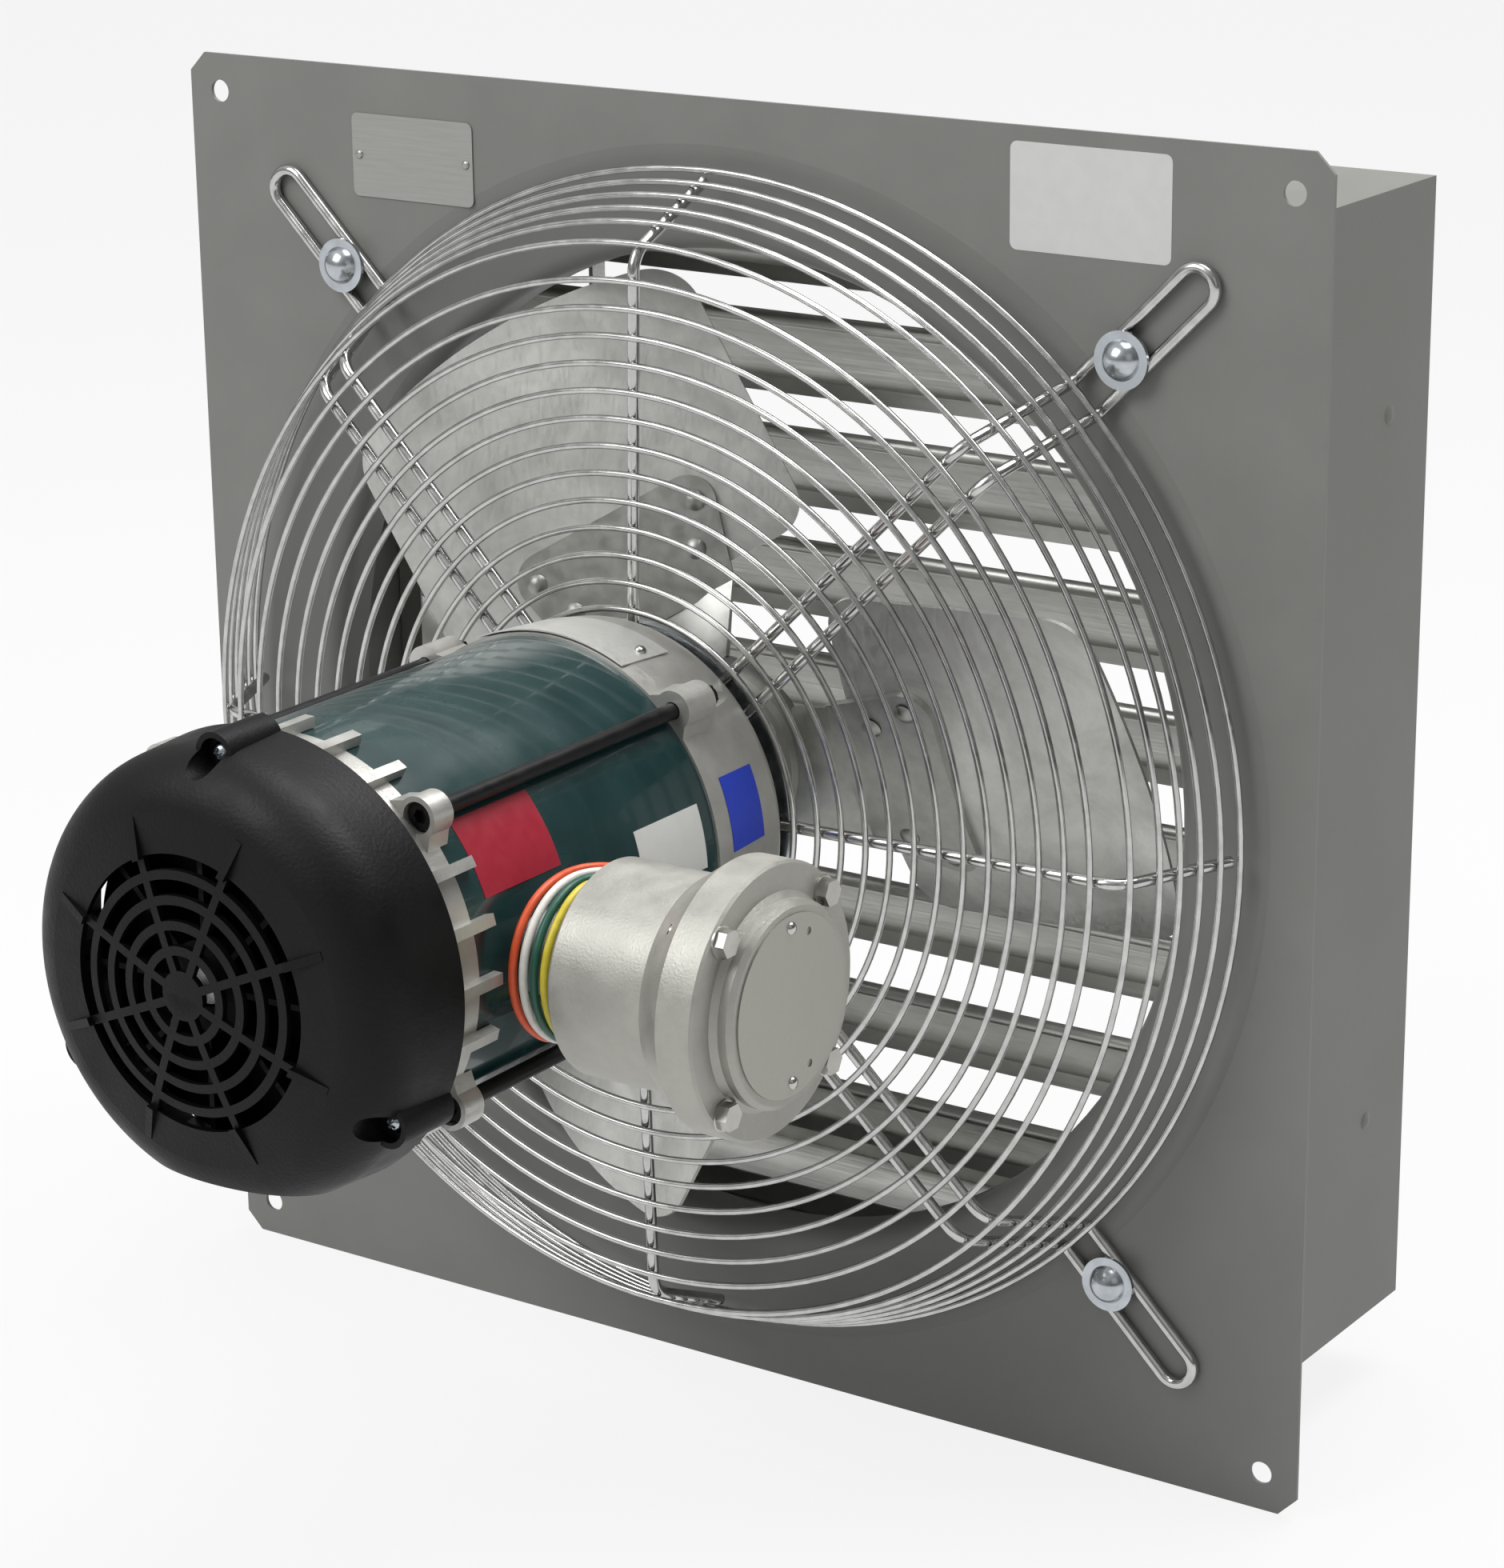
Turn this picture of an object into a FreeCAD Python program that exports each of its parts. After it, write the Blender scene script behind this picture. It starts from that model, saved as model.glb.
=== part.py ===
"""Shutter-mounted explosion-proof wall exhaust fan, as separate solids, one STEP file per piece.

Millimetres. X is to the right as seen from the motor side, Y runs through the wall to the
weather side and Z is up. The origin is the middle of the wall bolt pattern, on the back face
of the panel, so the motor stands on the -Y side and the sleeve on the +Y side.
"""
import FreeCAD, Part
import math
import os
from FreeCAD import Matrix, Vector

# Angles round the motor axis that several pieces share
QUARTERS = (0.0, 90.0, 180.0, 270.0)
DIAGONALS = (45.0, 135.0, 225.0, 315.0)

# Fits between pieces
SEAT = 0.05            # gap between seated curved faces
RUNNING_FIT = 0.06     # radial clearance of a shaft or pin that turns
LOOSE_FIT = 0.3        # radial clearance of a bolt or link hole
WELD_GAP = 0.2         # between crossing guard wires
HOLE_END = 1.0         # left empty past the end of a bolt

# Wall panel and sleeve
PANEL_WIDTH = 546.0
PANEL_SHEET = 1.6
PANEL_CHAMFER = 8.0
WALL_HOLE_EDGE = 16.0      # from the panel's edge to a wall hole
WALL_HOLE_RADIUS = 4.75
DISH_RADIUS = 254.0        # where the panel starts to dish in towards the throat
THROAT_RADIUS = 210.0
THROAT_EDGE_RADIUS = 9.0
DISH_DEPTH = 7.0
DISH_GAP = 1.0             # between the dish and the sleeve's front lip
THROAT_DEPTH = 26.0
SLEEVE_WIDTH = 480.0
SLEEVE_DEPTH = 153.4
SLEEVE_SHEET = 1.2
SLEEVE_LIP = 12.0

# Shutter at the back of the sleeve
SHUTTER_FIT = 0.6
SHUTTER_SHEET = 1.2
SHUTTER_LIP = 12.0
SHUTTER_DEPTH = 68.0
LOUVER_COUNT = 9
LOUVER_LAP = 1.0            # of a louver over the pivot of the next one
LOUVER_SHEET = 1.0
LOUVER_LIP = 7.0
LOUVER_LIP_ANGLE = 60.0
LOUVER_END_GAP = 7.0        # from a louver's end to the shutter's side wall
LOUVER_TILT = 44.0          # degrees below level, as photographed
HEM_RADIUS = 3.2
PIVOT_RADIUS = 2.4
PIVOT_SETBACK = 9.0         # from the shutter's front lip to the pivots
TOP_PIVOT_DROP = 23.0       # from the shutter's top wall to the first pivot
BOTTOM_MARGIN = 10.0        # left at the shutter's bottom wall under the last louver
BUSHING_WALL = 1.1
BUSHING_FLANGE = 2.0
BUSHING_FLANGE_SHEET = 1.4
CRANK_RADIUS = 16.0
CRANK_LEAD = 135.0          # degrees from the louver sheet to its crank
CRANK_SHEET = 1.6
LINK_PIN_RADIUS = 2.0
LINK_PIN_END = 1.5          # past the tie bar
TIE_BAR_X = -118.0
TIE_BAR_WIDTH = 9.0
TIE_BAR_SHEET = 2.0
SHUTTER_RIVET_RADIUS = 1.9
SHUTTER_RIVET_DOME = 1.2
SHUTTER_RIVET_TAIL = 1.5
SHUTTER_RIVET_SPAN = 150.0

# Wire guard
SPOKE_RADIUS = 2.4
RING_WIRE_RADIUS = 1.35
GUARD_INNER_RADIUS = 60.0
GUARD_INNER_HEIGHT = 63.2   # spoke axis in front of the panel's back face
GUARD_CORNER_RADIUS = 219.3
GUARD_CORNER_HEIGHT = 57.5
GUARD_FOOT_RADIUS = 243.4
GUARD_LEG_TAIL = 49.7       # from a guard screw to the end of its leg
GUARD_CORNER_BEND = 12.0
GUARD_FOOT_BEND = 6.0
LEG_PAIR_SPACING = 16.0
FRONT_RING_COUNT = 14
FRONT_RING_PITCH = 10.9
INNER_RING_RADIUS = 67.6
SIDE_RING_COUNT = 6
SIDE_RING_PITCH = 9.6
FIRST_SIDE_RING = 9.3       # height of the ring nearest the panel
RING_SIDES = 6
SCREW_FROM_DISH = 13.3      # least distance of a guard screw from the dish
SCREW_FROM_FOOT = 23.9      # least distance of a guard screw from the guard's foot
GUARD_SCREW_RADIUS = 3.0
GUARD_SCREW_END = 2.0       # past the nut
GUARD_WASHER_RADIUS = 11.5
GUARD_WASHER_THICKNESS = 1.6
GUARD_HEAD_RADIUS = 8.0
GUARD_HEAD_HEIGHT = 5.6
GUARD_NUT_WIDTH = 11.0
GUARD_NUT_HEIGHT = 5.0

# Motor mounting plate in the middle of the guard
MOUNT_PLATE_RADIUS = 72.0
MOUNT_PLATE_BORE = 24.0
MOUNT_PLATE_THICKNESS = 4.0
MOUNT_PLATE_WELD = 0.6      # to the inner ends of the guard's wires
MOUNT_BOLT_CIRCLE = 44.0
MOUNT_BOLT_RADIUS = 4.0
MOUNT_HEAD_WIDTH = 14.0
MOUNT_HEAD_HEIGHT = 5.5
MOUNT_BOLT_LENGTH = 14.0

# Motor
BARREL_RADIUS = 80.0
BARREL_WALL = 3.0
BARREL_FRONT = -121.0
BARREL_REAR = -270.0
FRONT_FACE = -69.0
PILOT_RADIUS = 57.0
BELL_ROUND = 9.0
BELL_RIM = 1.2
BELL_WALL = 8.0
BELL_DRAFT = 2.0
SPIGOT_LENGTH = 8.0
BEARING_RADIUS = 20.0
BEARING_BORE = 8.5
BEARING_WIDTH = 12.0
BEARING_RACE = 3.0
BEARING_SHIELD = 0.6        # depth of the shields
BEARING_POCKET = 2.0        # past the bearing, towards the coils
BEARING_COVER = 3.0         # wall of the rear bell behind its bearing
FRONT_BEARING_BACK = -93.0
REAR_BEARING_FRONT = -280.0
SHAFT_BODY_RADIUS = 12.0
SHAFT_END_RADIUS = 7.94
SHAFT_CLEARANCE = 1.5
SHAFT_SHOULDER = 2.5        # from a bearing to the thicker part of the shaft
SHAFT_CHAMFER = 1.0
SHAFT_FRONT = 14.0
SHAFT_REAR = -324.0
STATOR_BORE = 50.0
STATOR_FRONT = -160.0
STATOR_REAR = -240.0
WINDING_LENGTH = 22.0
WINDING_INNER_GAP = 3.0
WINDING_OUTER_GAP = 6.0
ROTOR_OVERHANG = 6.0
AIR_GAP = 0.5
THROUGH_BOLT_STANDOFF = 4.5    # from the barrel to a through bolt's axis
THROUGH_BOLT_ANGLES = (45.0, 135.0, 215.0, 325.0)
THROUGH_BOLT_RADIUS = 3.25
EAR_RADIUS = 8.0
EAR_ROOT = 14.0                # half width of an ear where it leaves the bell
FRONT_EAR_LENGTH = 18.0
REAR_EAR_LENGTH = 7.0
REAR_EAR_OVERHANG = 4.0
BOLT_HEAD_RADIUS = 5.0
BOLT_HEAD_HEIGHT = 5.0
BOLT_HEAD_POCKET = 6.0
BOLT_HEAD_SINK = 2.0           # of the bolt heads in their pockets
BOLT_TAIL = 3.0                # past the nut
NUT_SPOT_RADIUS = 6.6
REAR_RING_LENGTH = 16.0
REAR_DISC = 6.0
REAR_DISC_DRAFT = 4.0
FIN_STEP = 15.0
FIN_HEIGHT = 4.4
FIN_WIDTH = 4.4
FIN_OVERHANG = 8.0

# Fan cover over the cooling fan
COVER_RIM = -287.0
COVER_RIM_RADIUS = 86.6
COVER_WALL = 2.4
COVER_SHOULDER_RADIUS = 85.4
COVER_SHOULDER = -309.0
COVER_BULGE_IN = 6.4           # middle of the rounded edge, from the shoulder
COVER_BULGE_BACK = 15.4
COVER_FLAT = 74.5              # from the motor axis down to the flat underside
COVER_FACE_RADIUS = 66.0
COVER_FACE = -332.0
COVER_NOSE = -337.6
GRILLE_RADIUS = 51.4
GRILLE_ROWS = 5
GRILLE_PITCH = 9.1
GRILLE_SLOT = 5.7
GRILLE_SPOKES = 8
GRILLE_SPOKE_WIDTH = 3.2
RIB_LENGTH = 15.0
RIB_TIP = 1.0
RIB_SINK = 0.6
COVER_SCREW_CIRCLE = 83.0
COVER_SCREW_RADIUS = 2.4
COVER_SCREW_HEAD = 4.0
COVER_SCREW_SLOT = 1.1         # width of the cross recess
COVER_SCREW_RECESS = 1.6
COVER_SCREW_DOME = 2.6
COVER_SCREW_LENGTH = 14.0
COVER_BOSS_RADIUS = 5.5
COVER_LUG_BACK = -314.5
COVER_POCKET_RADIUS = 6.2
COVER_POCKET_WALL = 2.2
COVER_POCKET_FLOOR = -310.0
COVER_SCREW_ANGLES = (90.0, 210.0, 330.0)
COOLING_FAN_RADIUS = 67.0
COOLING_FAN_VANES = 8
COOLING_FAN_FRONT = -303.0
COOLING_FAN_REAR = -325.0
COOLING_FAN_HUB = 17.0
COOLING_FAN_SHEET = 2.2

# Conduit box on the right of the motor
BOX_Y = -230.5
BOX_BASE_X = 109.0
BOX_RADIUS = 40.0
BOX_WALL = 4.5
BOX_EDGE = 2.0                 # chamfer round the base
BOX_STEP = 1.0
BOX_STEP_X = 150.5
BOX_FLANGE_X = 164.0
BOX_JOINT_X = 169.0
BOX_FLANGE_RADIUS = 50.5
BOX_COVER_X = 179.0
BOX_BOSS_RADIUS = 37.7
BOX_BOSS_FLARE = 2.2
BOX_BOSS_EDGE = 1.8
BOX_BOSS_X = 186.4
BOX_BOLT_CIRCLE = 45.0
BOX_BOLT_RADIUS = 2.5
BOX_BOLT_HEAD_WIDTH = 9.0
BOX_BOLT_HEAD_HEIGHT = 4.6
BOX_BOLT_WASHER = 5.8          # radius of the washer face under a bolt head
BOX_BOLT_WASHER_SHEET = 0.8
BOX_BOLT_LENGTH = 20.0
BOX_BOLT_SPOT = 6.8            # cut into the boss round a bolt head
NIPPLE_RADIUS = 16.0
NIPPLE_BORE = 12.0
ENTRY_X = 131.0
ENTRY_RADIUS = 18.0
ENTRY_BORE = 12.2
ENTRY_LENGTH = 16.0            # from the box's underside up into the boss

# Motor leads between the barrel and the conduit box
LEAD_NAMES = ("lead_orange", "lead_white", "lead_green", "lead_yellow")
LEAD_RADIUS = 1.6
LEAD_FIRST_X = 87.5
LEAD_STEP_X = 4.7
LEAD_LOOP_RADIUS = 30.0
LEAD_BEND = 8.0
LEAD_SPREAD = 5.0
LEAD_STRAIGHT = 0.2            # least straight run next to a bend
GROMMET_WIDTH = 7.0
GROMMET_HEIGHT = 3.0

# Propeller
PROPELLER_RADIUS = 203.0
BLADE_COUNT = 3
FIRST_BLADE = 122.6        # degrees, as photographed
BLADE_PITCH = 25.5
BLADE_CHORD = 163.0
BLADE_ROOT = 71.0
BLADE_CAMBER_RADIUS = 420.0
BLADE_SHEET = 1.6
BLADE_TIP_ROUND = 22.0
BLADE_ROOT_ROUND = 15.0
BLADE_LEAD = 5.0           # chord middle ahead of the arm's middle
BLADE_MID_Y = 1.0          # front of the blade at mid chord
ARM_SHEET = 3.0
ARM_END = 112.0
ARM_END_WIDTH = 100.0
ARM_ROOT = 62.0
ARM_ROOT_WIDTH = 74.0
ARM_NECK = 36.0
ARM_NECK_WIDTH = 52.0
ARM_CORNER_ROUND = 12.0
ARM_LAP = 1.5                  # of the neck into the arm
PLAN_DEPTH = 60.0              # of the prisms that cut out blades and arms
PLAN_MARGIN = 2.0
CAMBER_REACH = 0.6             # of the chord, either side of its middle
SPIDER_RADIUS = 44.0
HUB_RADIUS = 22.0
HUB_FLANGE_RADIUS = 38.0
HUB_FLANGE = 5.0
HUB_FRONT = -34.0
HUB_RIVET_CIRCLE = 31.0
HUB_RIVET_COUNT = 6
HUB_SCREW_Y = -18.0
HUB_SCREW_RADIUS = 4.0
HUB_SCREW_HEAD = 3.0
HUB_SCREW_STAND = 1.0
RIVET_RADIUS = 2.4
RIVET_HEAD = 4.4
RIVET_DOME = 1.8
ARM_RIVETS = ((100.0, 38.0), (82.0, 29.0))   # along the arm, either side of its middle

ORIGIN = Vector(0, 0, 0)
FRONT_AXIS = Vector(0, -1, 0)


def box(x0, x1, y0, y1, z0, z1):
    """Block between two corners."""
    return Part.makeBox(x1 - x0, y1 - y0, z1 - z0, Vector(x0, y0, z0))


def rod_y(radius, y0, y1, x=0.0, z=0.0):
    """Round bar along Y."""
    return Part.makeCylinder(radius, y1 - y0, Vector(x, y0, z), Vector(0, 1, 0))


def rod_x(radius, x0, x1, y=0.0, z=0.0):
    """Round bar along X."""
    return Part.makeCylinder(radius, x1 - x0, Vector(x0, y, z), Vector(1, 0, 0))


def turned(shape, degrees):
    """Copy of a shape turned about the motor axis, from +X towards +Z."""
    copy = shape.copy()
    copy.rotate(ORIGIN, FRONT_AXIS, degrees)
    return copy


def fused(shapes):
    """One solid from overlapping or touching ones."""
    shapes = list(shapes)
    return shapes[0].multiFuse(shapes[1:]).removeSplitter()


def cut(shape, tools):
    """Shape with every tool taken away."""
    return shape.cut(list(tools))


def group(solids):
    """Separate solids kept together as one node."""
    return Part.makeCompound(list(solids))


def line(a, b):
    """Straight edge between two points."""
    return Part.LineSegment(a, b).toShape()


def spun(edges):
    """Solid of revolution about the motor axis from closed edges in the XY plane."""
    face = Part.Face(Part.Wire(edges))
    return face.revolve(ORIGIN, Vector(0, 1, 0), 360)


def profile(points):
    """Closed straight edges through (radius, y) points."""
    corners = [Vector(r, y, 0) for r, y in points]
    return [line(a, b) for a, b in zip(corners, corners[1:] + corners[:1])]


def hexagon_y(width, y0, y1, x, z):
    """Hexagonal prism along Y, given its width across flats."""
    corner = width / math.sqrt(3)
    points = [
        Vector(x + corner * math.cos(math.radians(a)), y0, z + corner * math.sin(math.radians(a)))
        for a in range(0, 360, 60)
    ]
    face = Part.Face(Part.makePolygon(points + points[:1]))
    return face.extrude(Vector(0, y1 - y0, 0))


def hexagon_x(width, x0, x1, y, z):
    """Hexagonal prism along X, given its width across flats."""
    corner = width / math.sqrt(3)
    points = [
        Vector(x0, y + corner * math.cos(math.radians(a)), z + corner * math.sin(math.radians(a)))
        for a in range(0, 360, 60)
    ]
    face = Part.Face(Part.makePolygon(points + points[:1]))
    return face.extrude(Vector(x1 - x0, 0, 0))


def dome_y(radius, height, y, direction):
    """Spherical cap about the motor axis, with its flat side at y."""
    ball = (radius ** 2 + height ** 2) / (2 * height)
    middle = y + direction * (height - ball)
    sphere = Part.makeSphere(ball, Vector(0, middle, 0))
    if direction > 0:
        return sphere.common(rod_y(radius, y, y + height))
    return sphere.common(rod_y(radius, y - height, y))


def polar(radius, degrees):
    """X and Z of a point round the motor axis."""
    return radius * math.cos(math.radians(degrees)), radius * math.sin(math.radians(degrees))


def corners(offset):
    """The four (x, z) corners of a square."""
    return [(sx * offset, sz * offset) for sx in (-1, 1) for sz in (-1, 1)]


# Wall panel and sleeve

def front_panel():
    half = PANEL_WIDTH / 2
    low = half - PANEL_CHAMFER
    outline = [(-low, -half), (low, -half), (half, -low), (half, low), (low, half), (-low, half)]
    outline += [(-half, low), (-half, -low)]
    points = [Vector(x, -PANEL_SHEET, z) for x, z in outline]
    blank = Part.Face(Part.makePolygon(points + points[:1]))
    plate = blank.extrude(Vector(0, PANEL_SHEET, 0)).cut(rod_y(DISH_RADIUS, -PANEL_SHEET, 0))
    dish = orifice().common(blank.extrude(Vector(0, PANEL_SHEET + THROAT_DEPTH, 0)))
    holes = [rod_y(WALL_HOLE_RADIUS, -PANEL_SHEET, 0, x, z) for x, z in corners(half - WALL_HOLE_EDGE)]
    screw_hole = GUARD_SCREW_RADIUS + LOOSE_FIT
    holes += [rod_y(screw_hole, -PANEL_SHEET, 0, x, z) for x, z in guard_screw_places()]
    return cut(fused([plate, dish]), holes)


def orifice():
    """Dished ring and rolled throat, in the panel's own sheet."""
    slope = math.atan2(DISH_DEPTH, DISH_RADIUS - THROAT_RADIUS)
    turn = math.pi / 2 - slope
    inner = [Vector(DISH_RADIUS, -PANEL_SHEET, 0)]
    outer = [Vector(DISH_RADIUS, 0, 0)]
    bend_x = THROAT_RADIUS + THROAT_EDGE_RADIUS
    run = bend_x - THROAT_EDGE_RADIUS * math.sin(slope)
    foot = -PANEL_SHEET + (DISH_RADIUS - run) * math.tan(slope)
    middle = Vector(bend_x, foot + THROAT_EDGE_RADIUS * math.cos(slope), 0)

    def bend(radius):
        at = [slope, slope + turn / 2, math.pi / 2]
        return [middle + Vector(-radius * math.sin(a), -radius * math.cos(a), 0) for a in at]

    front = bend(THROAT_EDGE_RADIUS)
    back = bend(THROAT_EDGE_RADIUS - PANEL_SHEET)
    front_end = Vector(THROAT_RADIUS, THROAT_DEPTH, 0)
    back_end = Vector(THROAT_RADIUS + PANEL_SHEET, THROAT_DEPTH, 0)
    edges = [
        line(inner[0], front[0]),
        Part.Arc(*front).toShape(),
        line(front[2], front_end),
        line(front_end, back_end),
        line(back_end, back[2]),
        Part.Arc(*reversed(back)).toShape(),
        line(back[0], outer[0]),
        line(outer[0], inner[0]),
    ]
    return spun(edges)


def square_channel(width, sheet, lip, y0, y1):
    """Square sheet frame with lips folded inwards at both ends."""
    half = width / 2
    wall = half - sheet
    opening = half - lip
    outside = box(-half, half, y0, y1, -half, half)
    return cut(outside, [
        box(-wall, wall, y0 + sheet, y1 - sheet, -wall, wall),
        box(-opening, opening, y0, y1, -opening, opening),
    ])


def rivet_places():
    """Turns and offsets of the rivets that hold the shutter in the sleeve."""
    return [(turn, side * SHUTTER_RIVET_SPAN) for turn in QUARTERS for side in (-1, 1)]


def shutter_rear():
    return SLEEVE_DEPTH - SLEEVE_SHEET


def shutter_front():
    return shutter_rear() - SHUTTER_DEPTH


def shutter_width():
    return SLEEVE_WIDTH - 2 * SLEEVE_SHEET - 2 * SHUTTER_FIT


def rivet_y():
    return shutter_rear() - SHUTTER_DEPTH / 2


def rivet_holes(radius):
    x1 = SLEEVE_WIDTH / 2
    solids = []
    for turn, z in rivet_places():
        solids.append(turned(rod_x(radius, x1 - SHUTTER_LIP, x1, rivet_y(), z), turn))
    return solids


def wall_sleeve():
    sleeve = square_channel(SLEEVE_WIDTH, SLEEVE_SHEET, SLEEVE_LIP, 0, SLEEVE_DEPTH)
    depth = DISH_DEPTH + 2 * DISH_GAP
    dish_room = Part.makeCone(DISH_RADIUS + DISH_GAP, THROAT_RADIUS, depth, ORIGIN, Vector(0, 1, 0))
    nut_room = [rod_y(GUARD_NUT_WIDTH, 0, SLEEVE_SHEET, x, z) for x, z in guard_screw_places()]
    return cut(sleeve, [dish_room] + nut_room + rivet_holes(SHUTTER_RIVET_RADIUS + SEAT))


# Shutter

def louver_pitch():
    """From one pivot to the next; the louvers share the shutter's height."""
    return (2 * shutter_inner() - TOP_PIVOT_DROP - BOTTOM_MARGIN) / LOUVER_COUNT


def louver_z(index):
    return shutter_inner() - TOP_PIVOT_DROP - index * louver_pitch()


def pivot_y():
    return shutter_front() + PIVOT_SETBACK


def shutter_inner():
    return shutter_width() / 2 - SHUTTER_SHEET


def bushing_radius():
    return PIVOT_RADIUS + RUNNING_FIT + BUSHING_WALL


def shutter_frame():
    frame = square_channel(shutter_width(), SHUTTER_SHEET, SHUTTER_LIP, shutter_front(), shutter_rear())
    half = shutter_width() / 2
    holes = []
    for index in range(LOUVER_COUNT):
        z = louver_z(index)
        holes.append(rod_x(bushing_radius() + SEAT, shutter_inner(), half, pivot_y(), z))
        holes.append(rod_x(bushing_radius() + SEAT, -half, -shutter_inner(), pivot_y(), z))
    return cut(frame, holes + rivet_holes(SHUTTER_RIVET_RADIUS + SEAT))


def shutter_rivets():
    """Blind rivets through the sleeve and the shutter frame, head outside."""
    x0 = shutter_inner() - SHUTTER_RIVET_TAIL
    x1 = SLEEVE_WIDTH / 2
    head = dome_y(2 * SHUTTER_RIVET_RADIUS, SHUTTER_RIVET_DOME, 0, 1)
    head.rotate(ORIGIN, Vector(0, 0, 1), -90)
    head.translate(Vector(x1 + SEAT, rivet_y(), 0))
    rivet = fused([head, rod_x(SHUTTER_RIVET_RADIUS, x0, x1 + 2 * SEAT, rivet_y())])
    solids = []
    for turn, z in rivet_places():
        solid = rivet.copy()
        solid.translate(Vector(0, 0, z))
        solids.append(turned(solid, turn))
    return group(solids)


def louver_bushings():
    """Flanged nylon bushings in the side walls of the shutter frame."""
    half = shutter_width() / 2
    inner = shutter_inner()
    solids = []
    for index in range(LOUVER_COUNT):
        z = louver_z(index)
        for side in (-1, 1):
            tail = sorted((side * (inner - SEAT), side * half))
            flange = sorted((side * (inner - SEAT), side * (inner - BUSHING_FLANGE_SHEET)))
            bore = sorted((side * (inner - BUSHING_FLANGE_SHEET), side * half))
            body = fused([
                rod_x(bushing_radius(), *tail, pivot_y(), z),
                rod_x(bushing_radius() + BUSHING_FLANGE, *flange, pivot_y(), z),
            ])
            solids.append(body.cut(rod_x(PIVOT_RADIUS + RUNNING_FIT, *bore, pivot_y(), z)))
    return group(solids)


def crank_offset():
    """Place of a link pin seen from its louver's pivot, as (y, z)."""
    angle = math.radians(LOUVER_TILT + CRANK_LEAD)
    return CRANK_RADIUS * math.cos(angle), -CRANK_RADIUS * math.sin(angle)


def louver(index):
    """Louver sheet with rolled hem, pivots, drip lip, crank tab and link pin."""
    half = shutter_inner() - LOUVER_END_GAP
    end = louver_pitch() + LOUVER_LAP
    t = LOUVER_SHEET
    lip_y = end + LOUVER_LIP * math.cos(math.radians(LOUVER_LIP_ANGLE))
    lip_z = -LOUVER_LIP * math.sin(math.radians(LOUVER_LIP_ANGLE))
    section = [(0, t / 2), (end, t / 2), (lip_y, t / 2 + lip_z), (lip_y - t, lip_z), (end - t, -t / 2)]
    section += [(0, -t / 2)]
    points = [Vector(-half, y, z) for y, z in section]
    sheet = Part.Face(Part.makePolygon(points + points[:1])).extrude(Vector(2 * half, 0, 0))
    pin_reach = shutter_width() / 2
    pieces = [
        sheet,
        rod_x(HEM_RADIUS, -half, half),
        rod_x(PIVOT_RADIUS, -pin_reach, pin_reach),
        crank_tab(),
    ]
    solid = fused(pieces)
    solid.rotate(ORIGIN, Vector(1, 0, 0), -LOUVER_TILT)
    solid.translate(Vector(0, pivot_y(), louver_z(index)))
    return solid


def crank_tab():
    """Tab and link pin of a louver that lies level, about its pivot."""
    angle = math.radians(CRANK_LEAD)
    pin_y = CRANK_RADIUS * math.cos(angle)
    pin_z = -CRANK_RADIUS * math.sin(angle)
    x1 = TIE_BAR_X - LOOSE_FIT
    x0 = x1 - CRANK_SHEET
    along = Vector(0, pin_y, pin_z) * (1 / CRANK_RADIUS)
    across = Vector(0, -along.z, along.y) * HEM_RADIUS
    tip = along * CRANK_RADIUS
    base = Vector(x0, 0, 0)
    points = [base + across, base - across, base + tip - across, base + tip + across]
    tab = Part.Face(Part.makePolygon(points + points[:1])).extrude(Vector(CRANK_SHEET, 0, 0))
    round_end = rod_x(HEM_RADIUS, x0, x1, pin_y, pin_z)
    pin = rod_x(LINK_PIN_RADIUS, x0, TIE_BAR_X + TIE_BAR_SHEET + LINK_PIN_END, pin_y, pin_z)
    return fused([tab, round_end, pin])


def tie_bar():
    """Flat bar that links the louver cranks."""
    dy, dz = crank_offset()
    y = pivot_y() + dy
    top = louver_z(0) + dz
    low = louver_z(LOUVER_COUNT - 1) + dz
    half = TIE_BAR_WIDTH / 2
    x1 = TIE_BAR_X + TIE_BAR_SHEET
    bar = fused([
        box(TIE_BAR_X, x1, y - half, y + half, low, top),
        rod_x(half, TIE_BAR_X, x1, y, top),
        rod_x(half, TIE_BAR_X, x1, y, low),
    ])
    hole = LINK_PIN_RADIUS + LOOSE_FIT
    zs = [louver_z(index) + dz for index in range(LOUVER_COUNT)]
    return cut(bar, [rod_x(hole, TIE_BAR_X, x1, y, z) for z in zs])


# Wire guard

def guard_slope():
    """Angle of the guard's face from the panel, and of its side from the panel."""
    rise = GUARD_INNER_HEIGHT - GUARD_CORNER_HEIGHT
    face = math.atan2(rise, GUARD_CORNER_RADIUS - GUARD_INNER_RADIUS)
    side = math.atan2(GUARD_CORNER_HEIGHT - leg_height(), GUARD_FOOT_RADIUS - GUARD_CORNER_RADIUS)
    return face, side


def leg_height():
    """Axis of a leg that lies on the panel, in front of the panel's back face."""
    return PANEL_SHEET + SPOKE_RADIUS + SEAT


def rounded_path(points, radii):
    """Edges through points, with a tangent arc at each inner point."""
    edges = []
    start = points[0]
    for before, corner, after, radius in zip(points, points[1:], points[2:], radii):
        to_back = (before - corner).normalize()
        to_next = (after - corner).normalize()
        half = to_back.getAngle(to_next) / 2
        reach = radius / math.tan(half)
        first = corner + to_back * reach
        last = corner + to_next * reach
        bisector = (to_back + to_next).normalize()
        middle = corner + bisector * (radius / math.sin(half) - radius)
        edges.append(line(start, first))
        edges.append(Part.Arc(first, middle, last).toShape())
        start = last
    edges.append(line(start, points[-1]))
    return edges


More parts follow.
